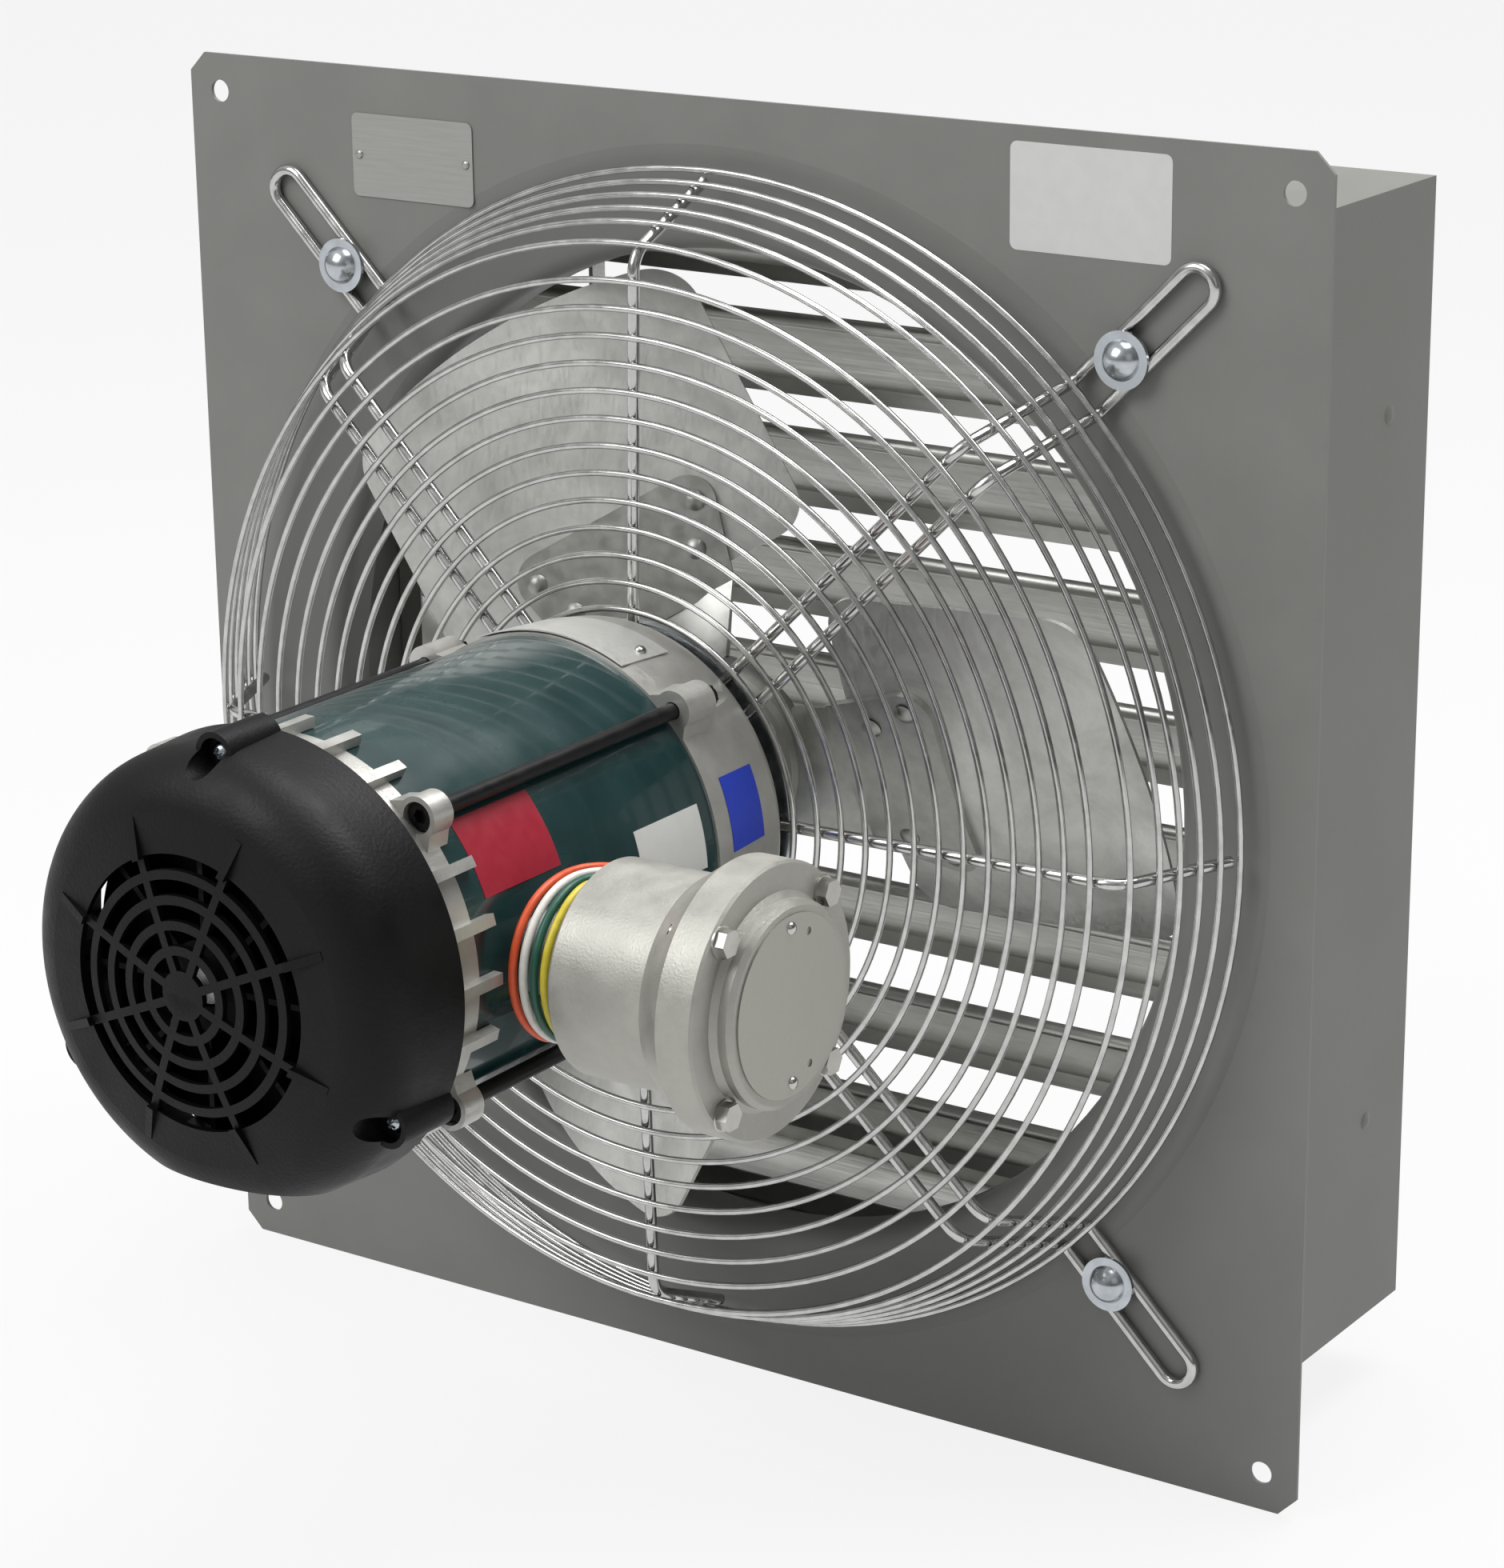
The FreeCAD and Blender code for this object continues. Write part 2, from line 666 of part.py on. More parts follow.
def wire_rod(edges, radius):
    """Round wire swept along connected edges."""
    path = Part.Wire(edges)
    start = path.OrderedVertexes[0].Point
    direction = path.OrderedEdges[0].tangentAt(path.OrderedEdges[0].FirstParameter)
    section = Part.Wire(Part.makeCircle(radius, start, direction))
    return path.makePipeShell([section], True, False)


def guard_point(radius, height, offset=0.0):
    """Point of a spoke that runs along +X, a height in front of the panel's back face."""
    return Vector(radius, -height, offset)


def guard_spokes():
    """Four single spokes, from the motor plate to the ring at the panel."""
    foot = GUARD_FOOT_RADIUS - (FIRST_SIDE_RING - leg_height()) / math.tan(guard_slope()[1])
    points = [
        guard_point(GUARD_INNER_RADIUS, GUARD_INNER_HEIGHT),
        guard_point(GUARD_CORNER_RADIUS, GUARD_CORNER_HEIGHT),
        guard_point(foot, FIRST_SIDE_RING),
    ]
    spoke = wire_rod(rounded_path(points, [GUARD_CORNER_BEND]), SPOKE_RADIUS)
    return group(turned(spoke, turn) for turn in QUARTERS)


def guard_legs():
    """Four hairpins of heavy wire that carry the motor from the panel's corners."""
    side = LEG_PAIR_SPACING / 2
    leg_end = guard_screw_circle() + GUARD_LEG_TAIL
    bend_start = leg_end - side

    def half_path(offset):
        return rounded_path([
            guard_point(GUARD_INNER_RADIUS, GUARD_INNER_HEIGHT, offset),
            guard_point(GUARD_CORNER_RADIUS, GUARD_CORNER_HEIGHT, offset),
            guard_point(GUARD_FOOT_RADIUS, leg_height(), offset),
            guard_point(bend_start, leg_height(), offset),
        ], [GUARD_CORNER_BEND, GUARD_FOOT_BEND])

    loop = Part.Arc(
        guard_point(bend_start, leg_height(), -side),
        guard_point(leg_end, leg_height()),
        guard_point(bend_start, leg_height(), side),
    ).toShape()
    hairpin = wire_rod(half_path(-side) + [loop] + list(reversed(half_path(side))), SPOKE_RADIUS)
    return group(turned(hairpin, turn) for turn in DIAGONALS)


def ring_wire(radius, height):
    """Closed wire ring round the motor axis."""
    points = []
    for step in range(RING_SIDES):
        angle = 2 * math.pi * (step + 0.5) / RING_SIDES
        r = radius + RING_WIRE_RADIUS * math.cos(angle)
        points.append((r, -height + RING_WIRE_RADIUS * math.sin(angle)))
    return spun(profile(points))


def ring_offset():
    """From a spoke's axis to the axis of a ring that is welded across it."""
    return SPOKE_RADIUS + RING_WIRE_RADIUS + WELD_GAP


def guard_front_rings():
    """Rings across the front of the guard."""
    face, _ = guard_slope()
    rings = []
    for index in range(FRONT_RING_COUNT):
        radius = INNER_RING_RADIUS + index * FRONT_RING_PITCH
        axis = GUARD_INNER_HEIGHT - (radius - GUARD_INNER_RADIUS) * math.tan(face)
        rings.append(ring_wire(radius, axis + ring_offset() / math.cos(face)))
    return group(rings)


def guard_side_rings():
    """Rings down the side of the guard, and the one round its corner."""
    face, side = guard_slope()
    rings = []
    for index in range(SIDE_RING_COUNT):
        height = FIRST_SIDE_RING + index * SIDE_RING_PITCH * math.sin(side)
        axis = GUARD_FOOT_RADIUS - (height - leg_height()) / math.tan(side)
        rings.append(ring_wire(axis + ring_offset() / math.sin(side), height))
    half = (math.pi - side + face) / 2
    inside = GUARD_CORNER_BEND / math.sin(half)
    bulge = GUARD_CORNER_BEND + ring_offset() - inside
    radius = GUARD_CORNER_RADIUS + bulge * math.sin(half - face)
    height = GUARD_CORNER_HEIGHT + bulge * math.cos(half - face)
    rings.append(ring_wire(radius, height))
    return group(rings)


def guard_screw_circle():
    """Distance of the guard screws from the motor axis, clear of the dish and of the guard's foot."""
    return max(DISH_RADIUS + SCREW_FROM_DISH, GUARD_FOOT_RADIUS + SCREW_FROM_FOOT)


def guard_screw_places():
    return [polar(guard_screw_circle(), turn) for turn in DIAGONALS]


def washer_face():
    """Front of the legs, where the screws' washers rest."""
    return -(leg_height() + SPOKE_RADIUS + SEAT)


def guard_screws():
    """Domed washer-head screws that clamp the guard's legs."""
    head_y = washer_face() - GUARD_WASHER_THICKNESS
    screw = fused([
        rod_y(GUARD_WASHER_RADIUS, head_y, washer_face()),
        dome_y(GUARD_HEAD_RADIUS, GUARD_HEAD_HEIGHT, head_y, -1),
        rod_y(GUARD_SCREW_RADIUS, head_y, GUARD_NUT_HEIGHT + GUARD_SCREW_END),
    ])
    solids = []
    for x, z in guard_screw_places():
        solid = screw.copy()
        solid.translate(Vector(x, 0, z))
        solids.append(solid)
    return group(solids)


def guard_nuts():
    """Hexagon nuts behind the panel."""
    hole = GUARD_SCREW_RADIUS + SEAT
    solids = []
    for x, z in guard_screw_places():
        nut = hexagon_y(GUARD_NUT_WIDTH, 0, GUARD_NUT_HEIGHT, x, z)
        solids.append(nut.cut(rod_y(hole, 0, GUARD_NUT_HEIGHT, x, z)))
    return group(solids)


# Motor mounting

def plate_front():
    """Front face of the mounting plate, where the guard's wires are welded."""
    return -(GUARD_INNER_HEIGHT - SPOKE_RADIUS) + MOUNT_PLATE_WELD


def mount_bolt_places():
    return [polar(MOUNT_BOLT_CIRCLE, turn) for turn in DIAGONALS]


def motor_mount_plate():
    y1 = plate_front() + MOUNT_PLATE_THICKNESS
    plate = rod_y(MOUNT_PLATE_RADIUS, plate_front(), y1)
    hole = MOUNT_BOLT_RADIUS + LOOSE_FIT
    tools = [rod_y(hole, plate_front(), y1, x, z) for x, z in mount_bolt_places()]
    return cut(plate, [rod_y(MOUNT_PLATE_BORE, plate_front(), y1)] + tools)


def motor_mount_bolts():
    """Hexagon bolts from the plate into the motor's front end bell."""
    y0 = plate_front() + MOUNT_PLATE_THICKNESS
    solids = []
    for x, z in mount_bolt_places():
        solids.append(fused([
            hexagon_y(MOUNT_HEAD_WIDTH, y0, y0 + MOUNT_HEAD_HEIGHT, x, z),
            rod_y(MOUNT_BOLT_RADIUS, y0 - MOUNT_BOLT_LENGTH, y0, x, z),
        ]))
    return group(solids)


# Motor

def through_bolt_circle():
    return BARREL_RADIUS + THROUGH_BOLT_STANDOFF


def through_bolt_places():
    return [polar(through_bolt_circle(), turn) for turn in THROUGH_BOLT_ANGLES]


def through_bolt_seat():
    """Seat of the bolt heads, at the bottom of their pockets."""
    return BARREL_REAR - REAR_EAR_LENGTH + BOLT_HEAD_SINK + BOLT_HEAD_HEIGHT


def ears(y0, y1):
    """Bolt ears that stand out of an end bell on wide roots."""
    root = BARREL_RADIUS - BELL_WALL / 2
    top = through_bolt_circle()
    outline = [(root, -EAR_ROOT), (top, -EAR_RADIUS), (top, EAR_RADIUS), (root, EAR_ROOT)]
    points = [Vector(x, y0, z) for x, z in outline]
    web = Part.Face(Part.makePolygon(points + points[:1])).extrude(Vector(0, y1 - y0, 0))
    ear = fused([web, rod_y(EAR_RADIUS, y0, y1, top)])
    return [turned(ear, turn) for turn in THROUGH_BOLT_ANGLES]


def ear_bores(radius, y0, y1):
    """Holes or pockets round the through bolts."""
    return [rod_y(radius, y0, y1, x, z) for x, z in through_bolt_places()]


def motor_barrel():
    tube = rod_y(BARREL_RADIUS, BARREL_REAR, BARREL_FRONT)
    return tube.cut(rod_y(BARREL_RADIUS - BARREL_WALL, BARREL_REAR, BARREL_FRONT))


def front_end_bell():
    """Cast bell with pilot, bearing seat, spigot and four bolt ears."""
    rim = BARREL_RADIUS + BELL_RIM
    nose = BARREL_RADIUS - BELL_DRAFT
    spigot = BARREL_RADIUS - BARREL_WALL - SEAT
    inside = spigot - BELL_WALL / 2
    back = BARREL_FRONT - SPIGOT_LENGTH
    bearing_back = FRONT_BEARING_BACK - BEARING_POCKET
    plate = plate_front()
    round_start = FRONT_FACE - BELL_ROUND
    corner = Vector(nose - BELL_ROUND, round_start, 0)
    slant = math.sqrt(0.5) * BELL_ROUND
    seat = BEARING_RADIUS + SEAT
    shaft_hole = BEARING_BORE + SHAFT_CLEARANCE
    bearing_front = FRONT_BEARING_BACK + BEARING_WIDTH
    points = [
        (nose - BELL_ROUND, FRONT_FACE), (PILOT_RADIUS, FRONT_FACE), (PILOT_RADIUS, plate),
        (shaft_hole, plate), (shaft_hole, bearing_front), (seat, bearing_front),
        (seat, bearing_back), (inside, bearing_back), (inside, back), (spigot, back),
        (spigot, BARREL_FRONT), (rim, BARREL_FRONT), (rim, BARREL_FRONT + FRONT_EAR_LENGTH / 2),
        (nose, round_start),
    ]
    vectors = [Vector(r, y, 0) for r, y in points]
    edges = [line(a, b) for a, b in zip(vectors, vectors[1:])]
    edges.append(Part.Arc(vectors[-1], corner + Vector(slant, slant, 0), vectors[0]).toShape())
    bell = spun(edges)
    y1 = BARREL_FRONT + FRONT_EAR_LENGTH
    body = fused([bell] + ears(BARREL_FRONT, y1))
    hole = MOUNT_BOLT_RADIUS + SEAT
    deep = plate + MOUNT_PLATE_THICKNESS - MOUNT_BOLT_LENGTH - HOLE_END
    tools = [rod_y(hole, deep, plate, x, z) for x, z in mount_bolt_places()]
    tools += ear_bores(THROUGH_BOLT_RADIUS + LOOSE_FIT, BARREL_FRONT, y1)
    return cut(body, tools + ear_bores(NUT_SPOT_RADIUS, y1, FRONT_FACE))


def rear_end_bell():
    """Cast bell with bearing boss, bolt ears, cooling fins and cover bosses."""
    ring_back = BARREL_REAR - REAR_RING_LENGTH
    disc_back = ring_back - REAR_DISC
    spigot = BARREL_RADIUS - BARREL_WALL - SEAT
    inside = spigot - BELL_WALL / 2
    seat = BEARING_RADIUS + SEAT
    boss = BEARING_RADIUS + BELL_WALL
    bearing_back = REAR_BEARING_FRONT - BEARING_WIDTH
    shaft_hole = BEARING_BORE + SHAFT_CLEARANCE
    points = [
        (inside, BARREL_REAR + SPIGOT_LENGTH), (spigot, BARREL_REAR + SPIGOT_LENGTH),
        (spigot, BARREL_REAR), (BARREL_RADIUS, BARREL_REAR), (BARREL_RADIUS, ring_back),
        (BARREL_RADIUS - REAR_DISC_DRAFT, disc_back), (boss, disc_back), (boss, bearing_back - BEARING_COVER),
        (shaft_hole, bearing_back - BEARING_COVER), (shaft_hole, bearing_back), (seat, bearing_back),
        (seat, REAR_BEARING_FRONT + BEARING_POCKET), (boss, REAR_BEARING_FRONT + BEARING_POCKET),
        (boss, ring_back), (inside, ring_back),
    ]
    ear_front = BARREL_REAR + REAR_EAR_OVERHANG
    ear_back = BARREL_REAR - REAR_EAR_LENGTH
    solids = [spun(profile(points))] + ears(ear_back, ear_front) + rear_fins()
    solids += [turned(cover_boss(), turn) for turn in COVER_SCREW_ANGLES]
    hole = rod_y(COVER_SCREW_RADIUS + SEAT, COVER_POCKET_FLOOR, disc_back, COVER_SCREW_CIRCLE)
    tools = [turned(hole, turn) for turn in COVER_SCREW_ANGLES]
    tools += ear_bores(THROUGH_BOLT_RADIUS + LOOSE_FIT, ear_back, ear_front)
    tools += ear_bores(BOLT_HEAD_POCKET, ear_back, through_bolt_seat())
    tools.append(rod_y(BARREL_RADIUS + LOOSE_FIT, BARREL_REAR, BARREL_REAR + FIN_OVERHANG).cut(
        rod_y(spigot, BARREL_REAR, BARREL_REAR + FIN_OVERHANG)))
    flat = COVER_FLAT - COVER_WALL - LOOSE_FIT
    reach = COVER_RIM_RADIUS
    tools.append(box(-reach, reach, disc_back, COVER_RIM + LOOSE_FIT, -reach, -flat))
    return cut(fused(solids), tools)


def rear_fins():
    """Cooling fins round the rear bell, up to the fan cover, left out at the bolt ears."""
    fin = box(
        BARREL_RADIUS - BELL_WALL / 2, BARREL_RADIUS + FIN_HEIGHT,
        COVER_RIM + LOOSE_FIT, BARREL_REAR + FIN_OVERHANG, -FIN_WIDTH / 2, FIN_WIDTH / 2,
    )
    turns = [step * FIN_STEP for step in range(int(360 / FIN_STEP))]
    return [
        turned(fin, turn) for turn in turns
        if min(abs(turn - angle) for angle in THROUGH_BOLT_ANGLES) > FIN_STEP / 2
    ]


def cover_boss():
    """Boss of the rear bell that takes a fan cover screw, along +X."""
    ring_back = BARREL_REAR - REAR_RING_LENGTH
    y0 = COVER_POCKET_FLOOR + COVER_POCKET_WALL + SEAT
    radius = COVER_BOSS_RADIUS
    return fused([
        rod_y(radius, y0, ring_back, COVER_SCREW_CIRCLE),
        box(BARREL_RADIUS - BELL_WALL, COVER_SCREW_CIRCLE, y0, ring_back, -radius, radius),
    ])


def bearing(back):
    """Sealed ball bearing, closed by its shields."""
    ring = rod_y(BEARING_RADIUS, back, back + BEARING_WIDTH)
    groove = rod_y(BEARING_RADIUS - BEARING_RACE, back, back + BEARING_SHIELD)
    groove = groove.cut(rod_y(BEARING_BORE + BEARING_RACE, back, back + BEARING_SHIELD))
    far = groove.copy()
    far.translate(Vector(0, BEARING_WIDTH - BEARING_SHIELD, 0))
    return cut(ring, [rod_y(BEARING_BORE + RUNNING_FIT, back, back + BEARING_WIDTH), groove, far])


def front_bearing():
    return bearing(FRONT_BEARING_BACK)


def rear_bearing():
    return bearing(REAR_BEARING_FRONT - BEARING_WIDTH)


def motor_shaft():
    """Stepped shaft, from the cooling fan to the propeller."""
    body_front = FRONT_BEARING_BACK - SHAFT_SHOULDER
    body_rear = REAR_BEARING_FRONT + SHAFT_SHOULDER
    seat_front = FRONT_BEARING_BACK + BEARING_WIDTH
    seat_rear = REAR_BEARING_FRONT - BEARING_WIDTH
    end = SHAFT_END_RADIUS - SHAFT_CHAMFER
    points = [
        (0, SHAFT_REAR), (end, SHAFT_REAR), (SHAFT_END_RADIUS, SHAFT_REAR + SHAFT_CHAMFER),
        (SHAFT_END_RADIUS, seat_rear), (BEARING_BORE, seat_rear), (BEARING_BORE, body_rear),
        (SHAFT_BODY_RADIUS, body_rear), (SHAFT_BODY_RADIUS, body_front), (BEARING_BORE, body_front),
        (BEARING_BORE, seat_front), (SHAFT_END_RADIUS, seat_front),
        (SHAFT_END_RADIUS, SHAFT_FRONT - SHAFT_CHAMFER), (end, SHAFT_FRONT), (0, SHAFT_FRONT),
    ]
    return spun(profile(points))


def stator_core():
    """Laminated core, pressed into the barrel."""
    core = rod_y(BARREL_RADIUS - BARREL_WALL, STATOR_REAR, STATOR_FRONT)
    return core.cut(rod_y(STATOR_BORE, STATOR_REAR, STATOR_FRONT))


def stator_windings():
    """Coil ends on both faces of the core."""
    inner = STATOR_BORE + WINDING_INNER_GAP
    outer = BARREL_RADIUS - BARREL_WALL - WINDING_OUTER_GAP
    coils = []
    for y0 in (STATOR_REAR - WINDING_LENGTH, STATOR_FRONT):
        coil = rod_y(outer, y0, y0 + WINDING_LENGTH)
        coils.append(coil.cut(rod_y(inner, y0, y0 + WINDING_LENGTH)))
    return group(coils)


def rotor_core():
    """Cage rotor on the shaft."""
    y0 = STATOR_REAR - ROTOR_OVERHANG
    y1 = STATOR_FRONT + ROTOR_OVERHANG
    return rod_y(STATOR_BORE - AIR_GAP, y0, y1).cut(rod_y(SHAFT_BODY_RADIUS, y0, y1))


def through_bolts():
    """Long bolts outside the barrel that draw the two bells together."""
    head = through_bolt_seat()
    tail = BARREL_FRONT + FRONT_EAR_LENGTH + BOLT_HEAD_HEIGHT + BOLT_TAIL
    solids = []
    for x, z in through_bolt_places():
        solids.append(fused([
            rod_y(THROUGH_BOLT_RADIUS, head, tail, x, z),
            rod_y(BOLT_HEAD_RADIUS, head - BOLT_HEAD_HEIGHT, head, x, z),
        ]))
    sockets = [
        hexagon_y(BOLT_HEAD_RADIUS, head - BOLT_HEAD_HEIGHT, head - BOLT_HEAD_HEIGHT / 2, x, z)
        for x, z in through_bolt_places()
    ]
    return group(solid.cut(socket) for solid, socket in zip(solids, sockets))


def through_bolt_nuts():
    """Nuts on the front ears."""
    y0 = BARREL_FRONT + FRONT_EAR_LENGTH
    hole = THROUGH_BOLT_RADIUS + SEAT
    width = 2 * BOLT_HEAD_RADIUS
    solids = []
    for x, z in through_bolt_places():
        nut = hexagon_y(width, y0, y0 + BOLT_HEAD_HEIGHT, x, z)
        solids.append(nut.cut(rod_y(hole, y0, y0 + BOLT_HEAD_HEIGHT, x, z)))
    return group(solids)


# Fan cover and cooling fan

def cover_shell(inset):
    """Solid dome of the fan cover with its flat underside, drawn in by a wall."""
    rim = COVER_RIM_RADIUS - inset
    shoulder = COVER_SHOULDER_RADIUS - inset
    face = Vector(COVER_FACE_RADIUS - inset / 2, COVER_FACE + inset, 0)
    nose = Vector(0, COVER_NOSE + inset, 0)
    start = Vector(shoulder, COVER_SHOULDER, 0)
    bulge = Vector(shoulder - COVER_BULGE_IN, COVER_SHOULDER - COVER_BULGE_BACK + inset / 2, 0)
    rise = face.y - nose.y
    ball = (face.x ** 2 + rise ** 2) / (2 * rise)
    crown = Vector(face.x / 2, nose.y + ball - math.sqrt(ball ** 2 - face.x ** 2 / 4), 0)
    rim_point = Vector(rim, COVER_RIM, 0)
    centre = Vector(0, COVER_RIM, 0)
    dome = spun([
        line(rim_point, start),
        Part.Arc(start, bulge, face).toShape(),
        Part.Arc(face, crown, nose).toShape(),
        line(nose, centre),
        line(centre, rim_point),
    ])
    return dome.cut(box(-rim, rim, COVER_NOSE, COVER_RIM, -rim, inset - COVER_FLAT))


def grille_slots():
    """Arc slots of the air inlet, in rows between the spokes."""
    slots = []
    y0 = COVER_NOSE
    y1 = COVER_SHOULDER
    for row in range(GRILLE_ROWS):
        outer = GRILLE_RADIUS - row * GRILLE_PITCH
        ring = rod_y(outer, y0, y1).cut(rod_y(outer - GRILLE_SLOT, y0, y1))
        slots.append(ring)
    half = GRILLE_SPOKE_WIDTH / 2
    spoke = box(0, GRILLE_RADIUS, y0, y1, -half, half)
    spokes = [turned(spoke, step * 360 / GRILLE_SPOKES) for step in range(GRILLE_SPOKES)]
    return [cut(ring, spokes) for ring in slots]


def cover_rib():
    """Pointed rib that runs out from a grille spoke, along +X."""
    start = GRILLE_RADIUS - RIB_TIP
    end = start + RIB_LENGTH
    half = GRILLE_SPOKE_WIDTH / 2
    top = COVER_NOSE + RIB_SINK
    low = COVER_FACE + RIB_SINK
    outline = [(start, top), (end, low - RIB_TIP), (end, low), (start, low)]
    points = [Vector(x, y, -half) for x, y in outline]
    return Part.Face(Part.makePolygon(points + points[:1])).extrude(Vector(0, 0, 2 * half))


def fan_cover():
    """Moulded cover with inlet grille, ribs and three screw pockets."""
    pocket = COVER_POCKET_RADIUS + COVER_POCKET_WALL
    lug = rod_y(pocket, COVER_LUG_BACK, COVER_RIM, COVER_SCREW_CIRCLE)
    lugs = [turned(lug, turn) for turn in COVER_SCREW_ANGLES]
    ribs = [turned(cover_rib(), (step + 0.5) * 360 / GRILLE_SPOKES) for step in range(GRILLE_SPOKES)]
    solid = fused([cover_shell(0)] + lugs)
    hollow = cover_shell(COVER_WALL)
    cup = rod_y(pocket, COVER_NOSE, COVER_POCKET_FLOOR + COVER_POCKET_WALL, COVER_SCREW_CIRCLE)
    hollow = cut(hollow, [turned(cup, turn) for turn in COVER_SCREW_ANGLES])
    boss_room = rod_y(COVER_POCKET_RADIUS, COVER_POCKET_FLOOR + COVER_POCKET_WALL, COVER_RIM,
                      COVER_SCREW_CIRCLE)
    recess = rod_y(COVER_POCKET_RADIUS, COVER_NOSE, COVER_POCKET_FLOOR, COVER_SCREW_CIRCLE)
    hole = rod_y(COVER_SCREW_RADIUS + LOOSE_FIT, COVER_NOSE, COVER_RIM, COVER_SCREW_CIRCLE)
    tools = [turned(tool, turn) for turn in COVER_SCREW_ANGLES for tool in (boss_room, recess, hole)]
    shell = cut(solid.cut(hollow), tools)
    slots = [turned(slot, 180 / GRILLE_SPOKES) for slot in grille_slots()]
    return cut(fused([shell] + ribs), slots)


def fan_cover_screws():
    """Domed screws with a cross recess."""
    y0 = COVER_POCKET_FLOOR - SEAT
    top = y0 - COVER_SCREW_DOME
    floor = top + COVER_SCREW_RECESS
    half = COVER_SCREW_SLOT / 2
    reach = COVER_SCREW_HEAD / 2
    screw = fused([
        dome_y(COVER_SCREW_HEAD, COVER_SCREW_DOME, y0, -1),
        rod_y(COVER_SCREW_RADIUS, y0, y0 + COVER_SCREW_LENGTH),
    ])
    screw = cut(screw, [
        box(-reach, reach, top, floor, -half, half),
        box(-half, half, top, floor, -reach, reach),
    ])
    screw.translate(Vector(COVER_SCREW_CIRCLE, 0, 0))
    return group(turned(screw, turn) for turn in COVER_SCREW_ANGLES)


def cooling_fan():
    """Radial fan on the rear end of the shaft."""
    hub = rod_y(COOLING_FAN_HUB, COOLING_FAN_REAR, COOLING_FAN_FRONT)
    plate = rod_y(COOLING_FAN_RADIUS, COOLING_FAN_FRONT - COOLING_FAN_SHEET, COOLING_FAN_FRONT)
    half = COOLING_FAN_SHEET / 2
    vane = box(
        COOLING_FAN_HUB - half, COOLING_FAN_RADIUS, COOLING_FAN_REAR, COOLING_FAN_FRONT - half, -half, half,
    )
    vanes = [turned(vane, step * 360 / COOLING_FAN_VANES) for step in range(COOLING_FAN_VANES)]
    body = fused([hub, plate] + vanes)
    return body.cut(rod_y(SHAFT_END_RADIUS + SEAT, COOLING_FAN_REAR, COOLING_FAN_FRONT))


# Conduit box

def box_spun(points):
    """Solid of revolution about the conduit box's axis from (x, radius) points."""
    vectors = [Vector(x, BOX_Y + r, 0) for x, r in points]
    edges = [line(a, b) for a, b in zip(vectors, vectors[1:] + vectors[:1])]
    face = Part.Face(Part.Wire(edges))
    return face.revolve(Vector(0, BOX_Y, 0), Vector(1, 0, 0), 360)


def box_bolt_places():
    """Y and Z of the cover bolts."""
    at = [polar(BOX_BOLT_CIRCLE, turn) for turn in DIAGONALS]
    return [(BOX_Y + y, z) for y, z in at]


def conduit_nipple():
    pipe = rod_x(NIPPLE_RADIUS, 0, BOX_BASE_X, BOX_Y)
    bore = rod_x(NIPPLE_BORE, 0, BOX_BASE_X, BOX_Y)
    seat = rod_y(BARREL_RADIUS + SEAT, BARREL_REAR, BARREL_FRONT)
    return cut(pipe, [bore, seat])


def conduit_box():
    """Cast round box with flange and a threaded entry underneath for the supply conduit."""
    inside = BOX_RADIUS - BOX_WALL
    shell = box_spun([
        (BOX_BASE_X, NIPPLE_BORE), (BOX_BASE_X, BOX_RADIUS - BOX_EDGE), (BOX_BASE_X + BOX_EDGE, BOX_RADIUS),
        (BOX_STEP_X, BOX_RADIUS), (BOX_STEP_X, BOX_RADIUS + BOX_STEP), (BOX_FLANGE_X, BOX_FLANGE_RADIUS),
        (BOX_JOINT_X, BOX_FLANGE_RADIUS), (BOX_JOINT_X, inside), (BOX_BASE_X + BOX_WALL, inside),
        (BOX_BASE_X + BOX_WALL, NIPPLE_BORE),
    ])
    low = Vector(ENTRY_X, BOX_Y, -BOX_RADIUS)
    up = Vector(0, 0, 1)
    boss = Part.makeCylinder(ENTRY_RADIUS, ENTRY_LENGTH, low, up)
    boss = boss.common(rod_x(BOX_RADIUS - BOX_WALL / 2, BOX_BASE_X, BOX_STEP_X, BOX_Y))
    hole = BOX_BOLT_RADIUS + SEAT
    deep = BOX_COVER_X - BOX_BOLT_LENGTH - HOLE_END
    tools = [rod_x(hole, deep, BOX_JOINT_X, y, z) for y, z in box_bolt_places()]
    return cut(fused([shell, boss]), tools + [Part.makeCylinder(ENTRY_BORE, ENTRY_LENGTH, low, up)])


def conduit_cover():
    """Cast cover with raised round boss."""
    cover = box_spun([
        (BOX_JOINT_X, 0), (BOX_JOINT_X, BOX_FLANGE_RADIUS), (BOX_COVER_X - BOX_STEP, BOX_FLANGE_RADIUS),
        (BOX_COVER_X, BOX_FLANGE_RADIUS - BOX_STEP), (BOX_COVER_X, BOX_BOSS_RADIUS + BOX_BOSS_FLARE),
        (BOX_COVER_X + BOX_BOSS_FLARE, BOX_BOSS_RADIUS), (BOX_BOSS_X - BOX_BOSS_EDGE, BOX_BOSS_RADIUS),
        (BOX_BOSS_X, BOX_BOSS_RADIUS - BOX_BOSS_EDGE), (BOX_BOSS_X, 0),
    ])
    hole = BOX_BOLT_RADIUS + LOOSE_FIT
    tools = [rod_x(hole, BOX_JOINT_X, BOX_COVER_X, y, z) for y, z in box_bolt_places()]
    tools += [rod_x(BOX_BOLT_SPOT, BOX_COVER_X, BOX_BOSS_X, y, z) for y, z in box_bolt_places()]
    return cut(cover, tools)


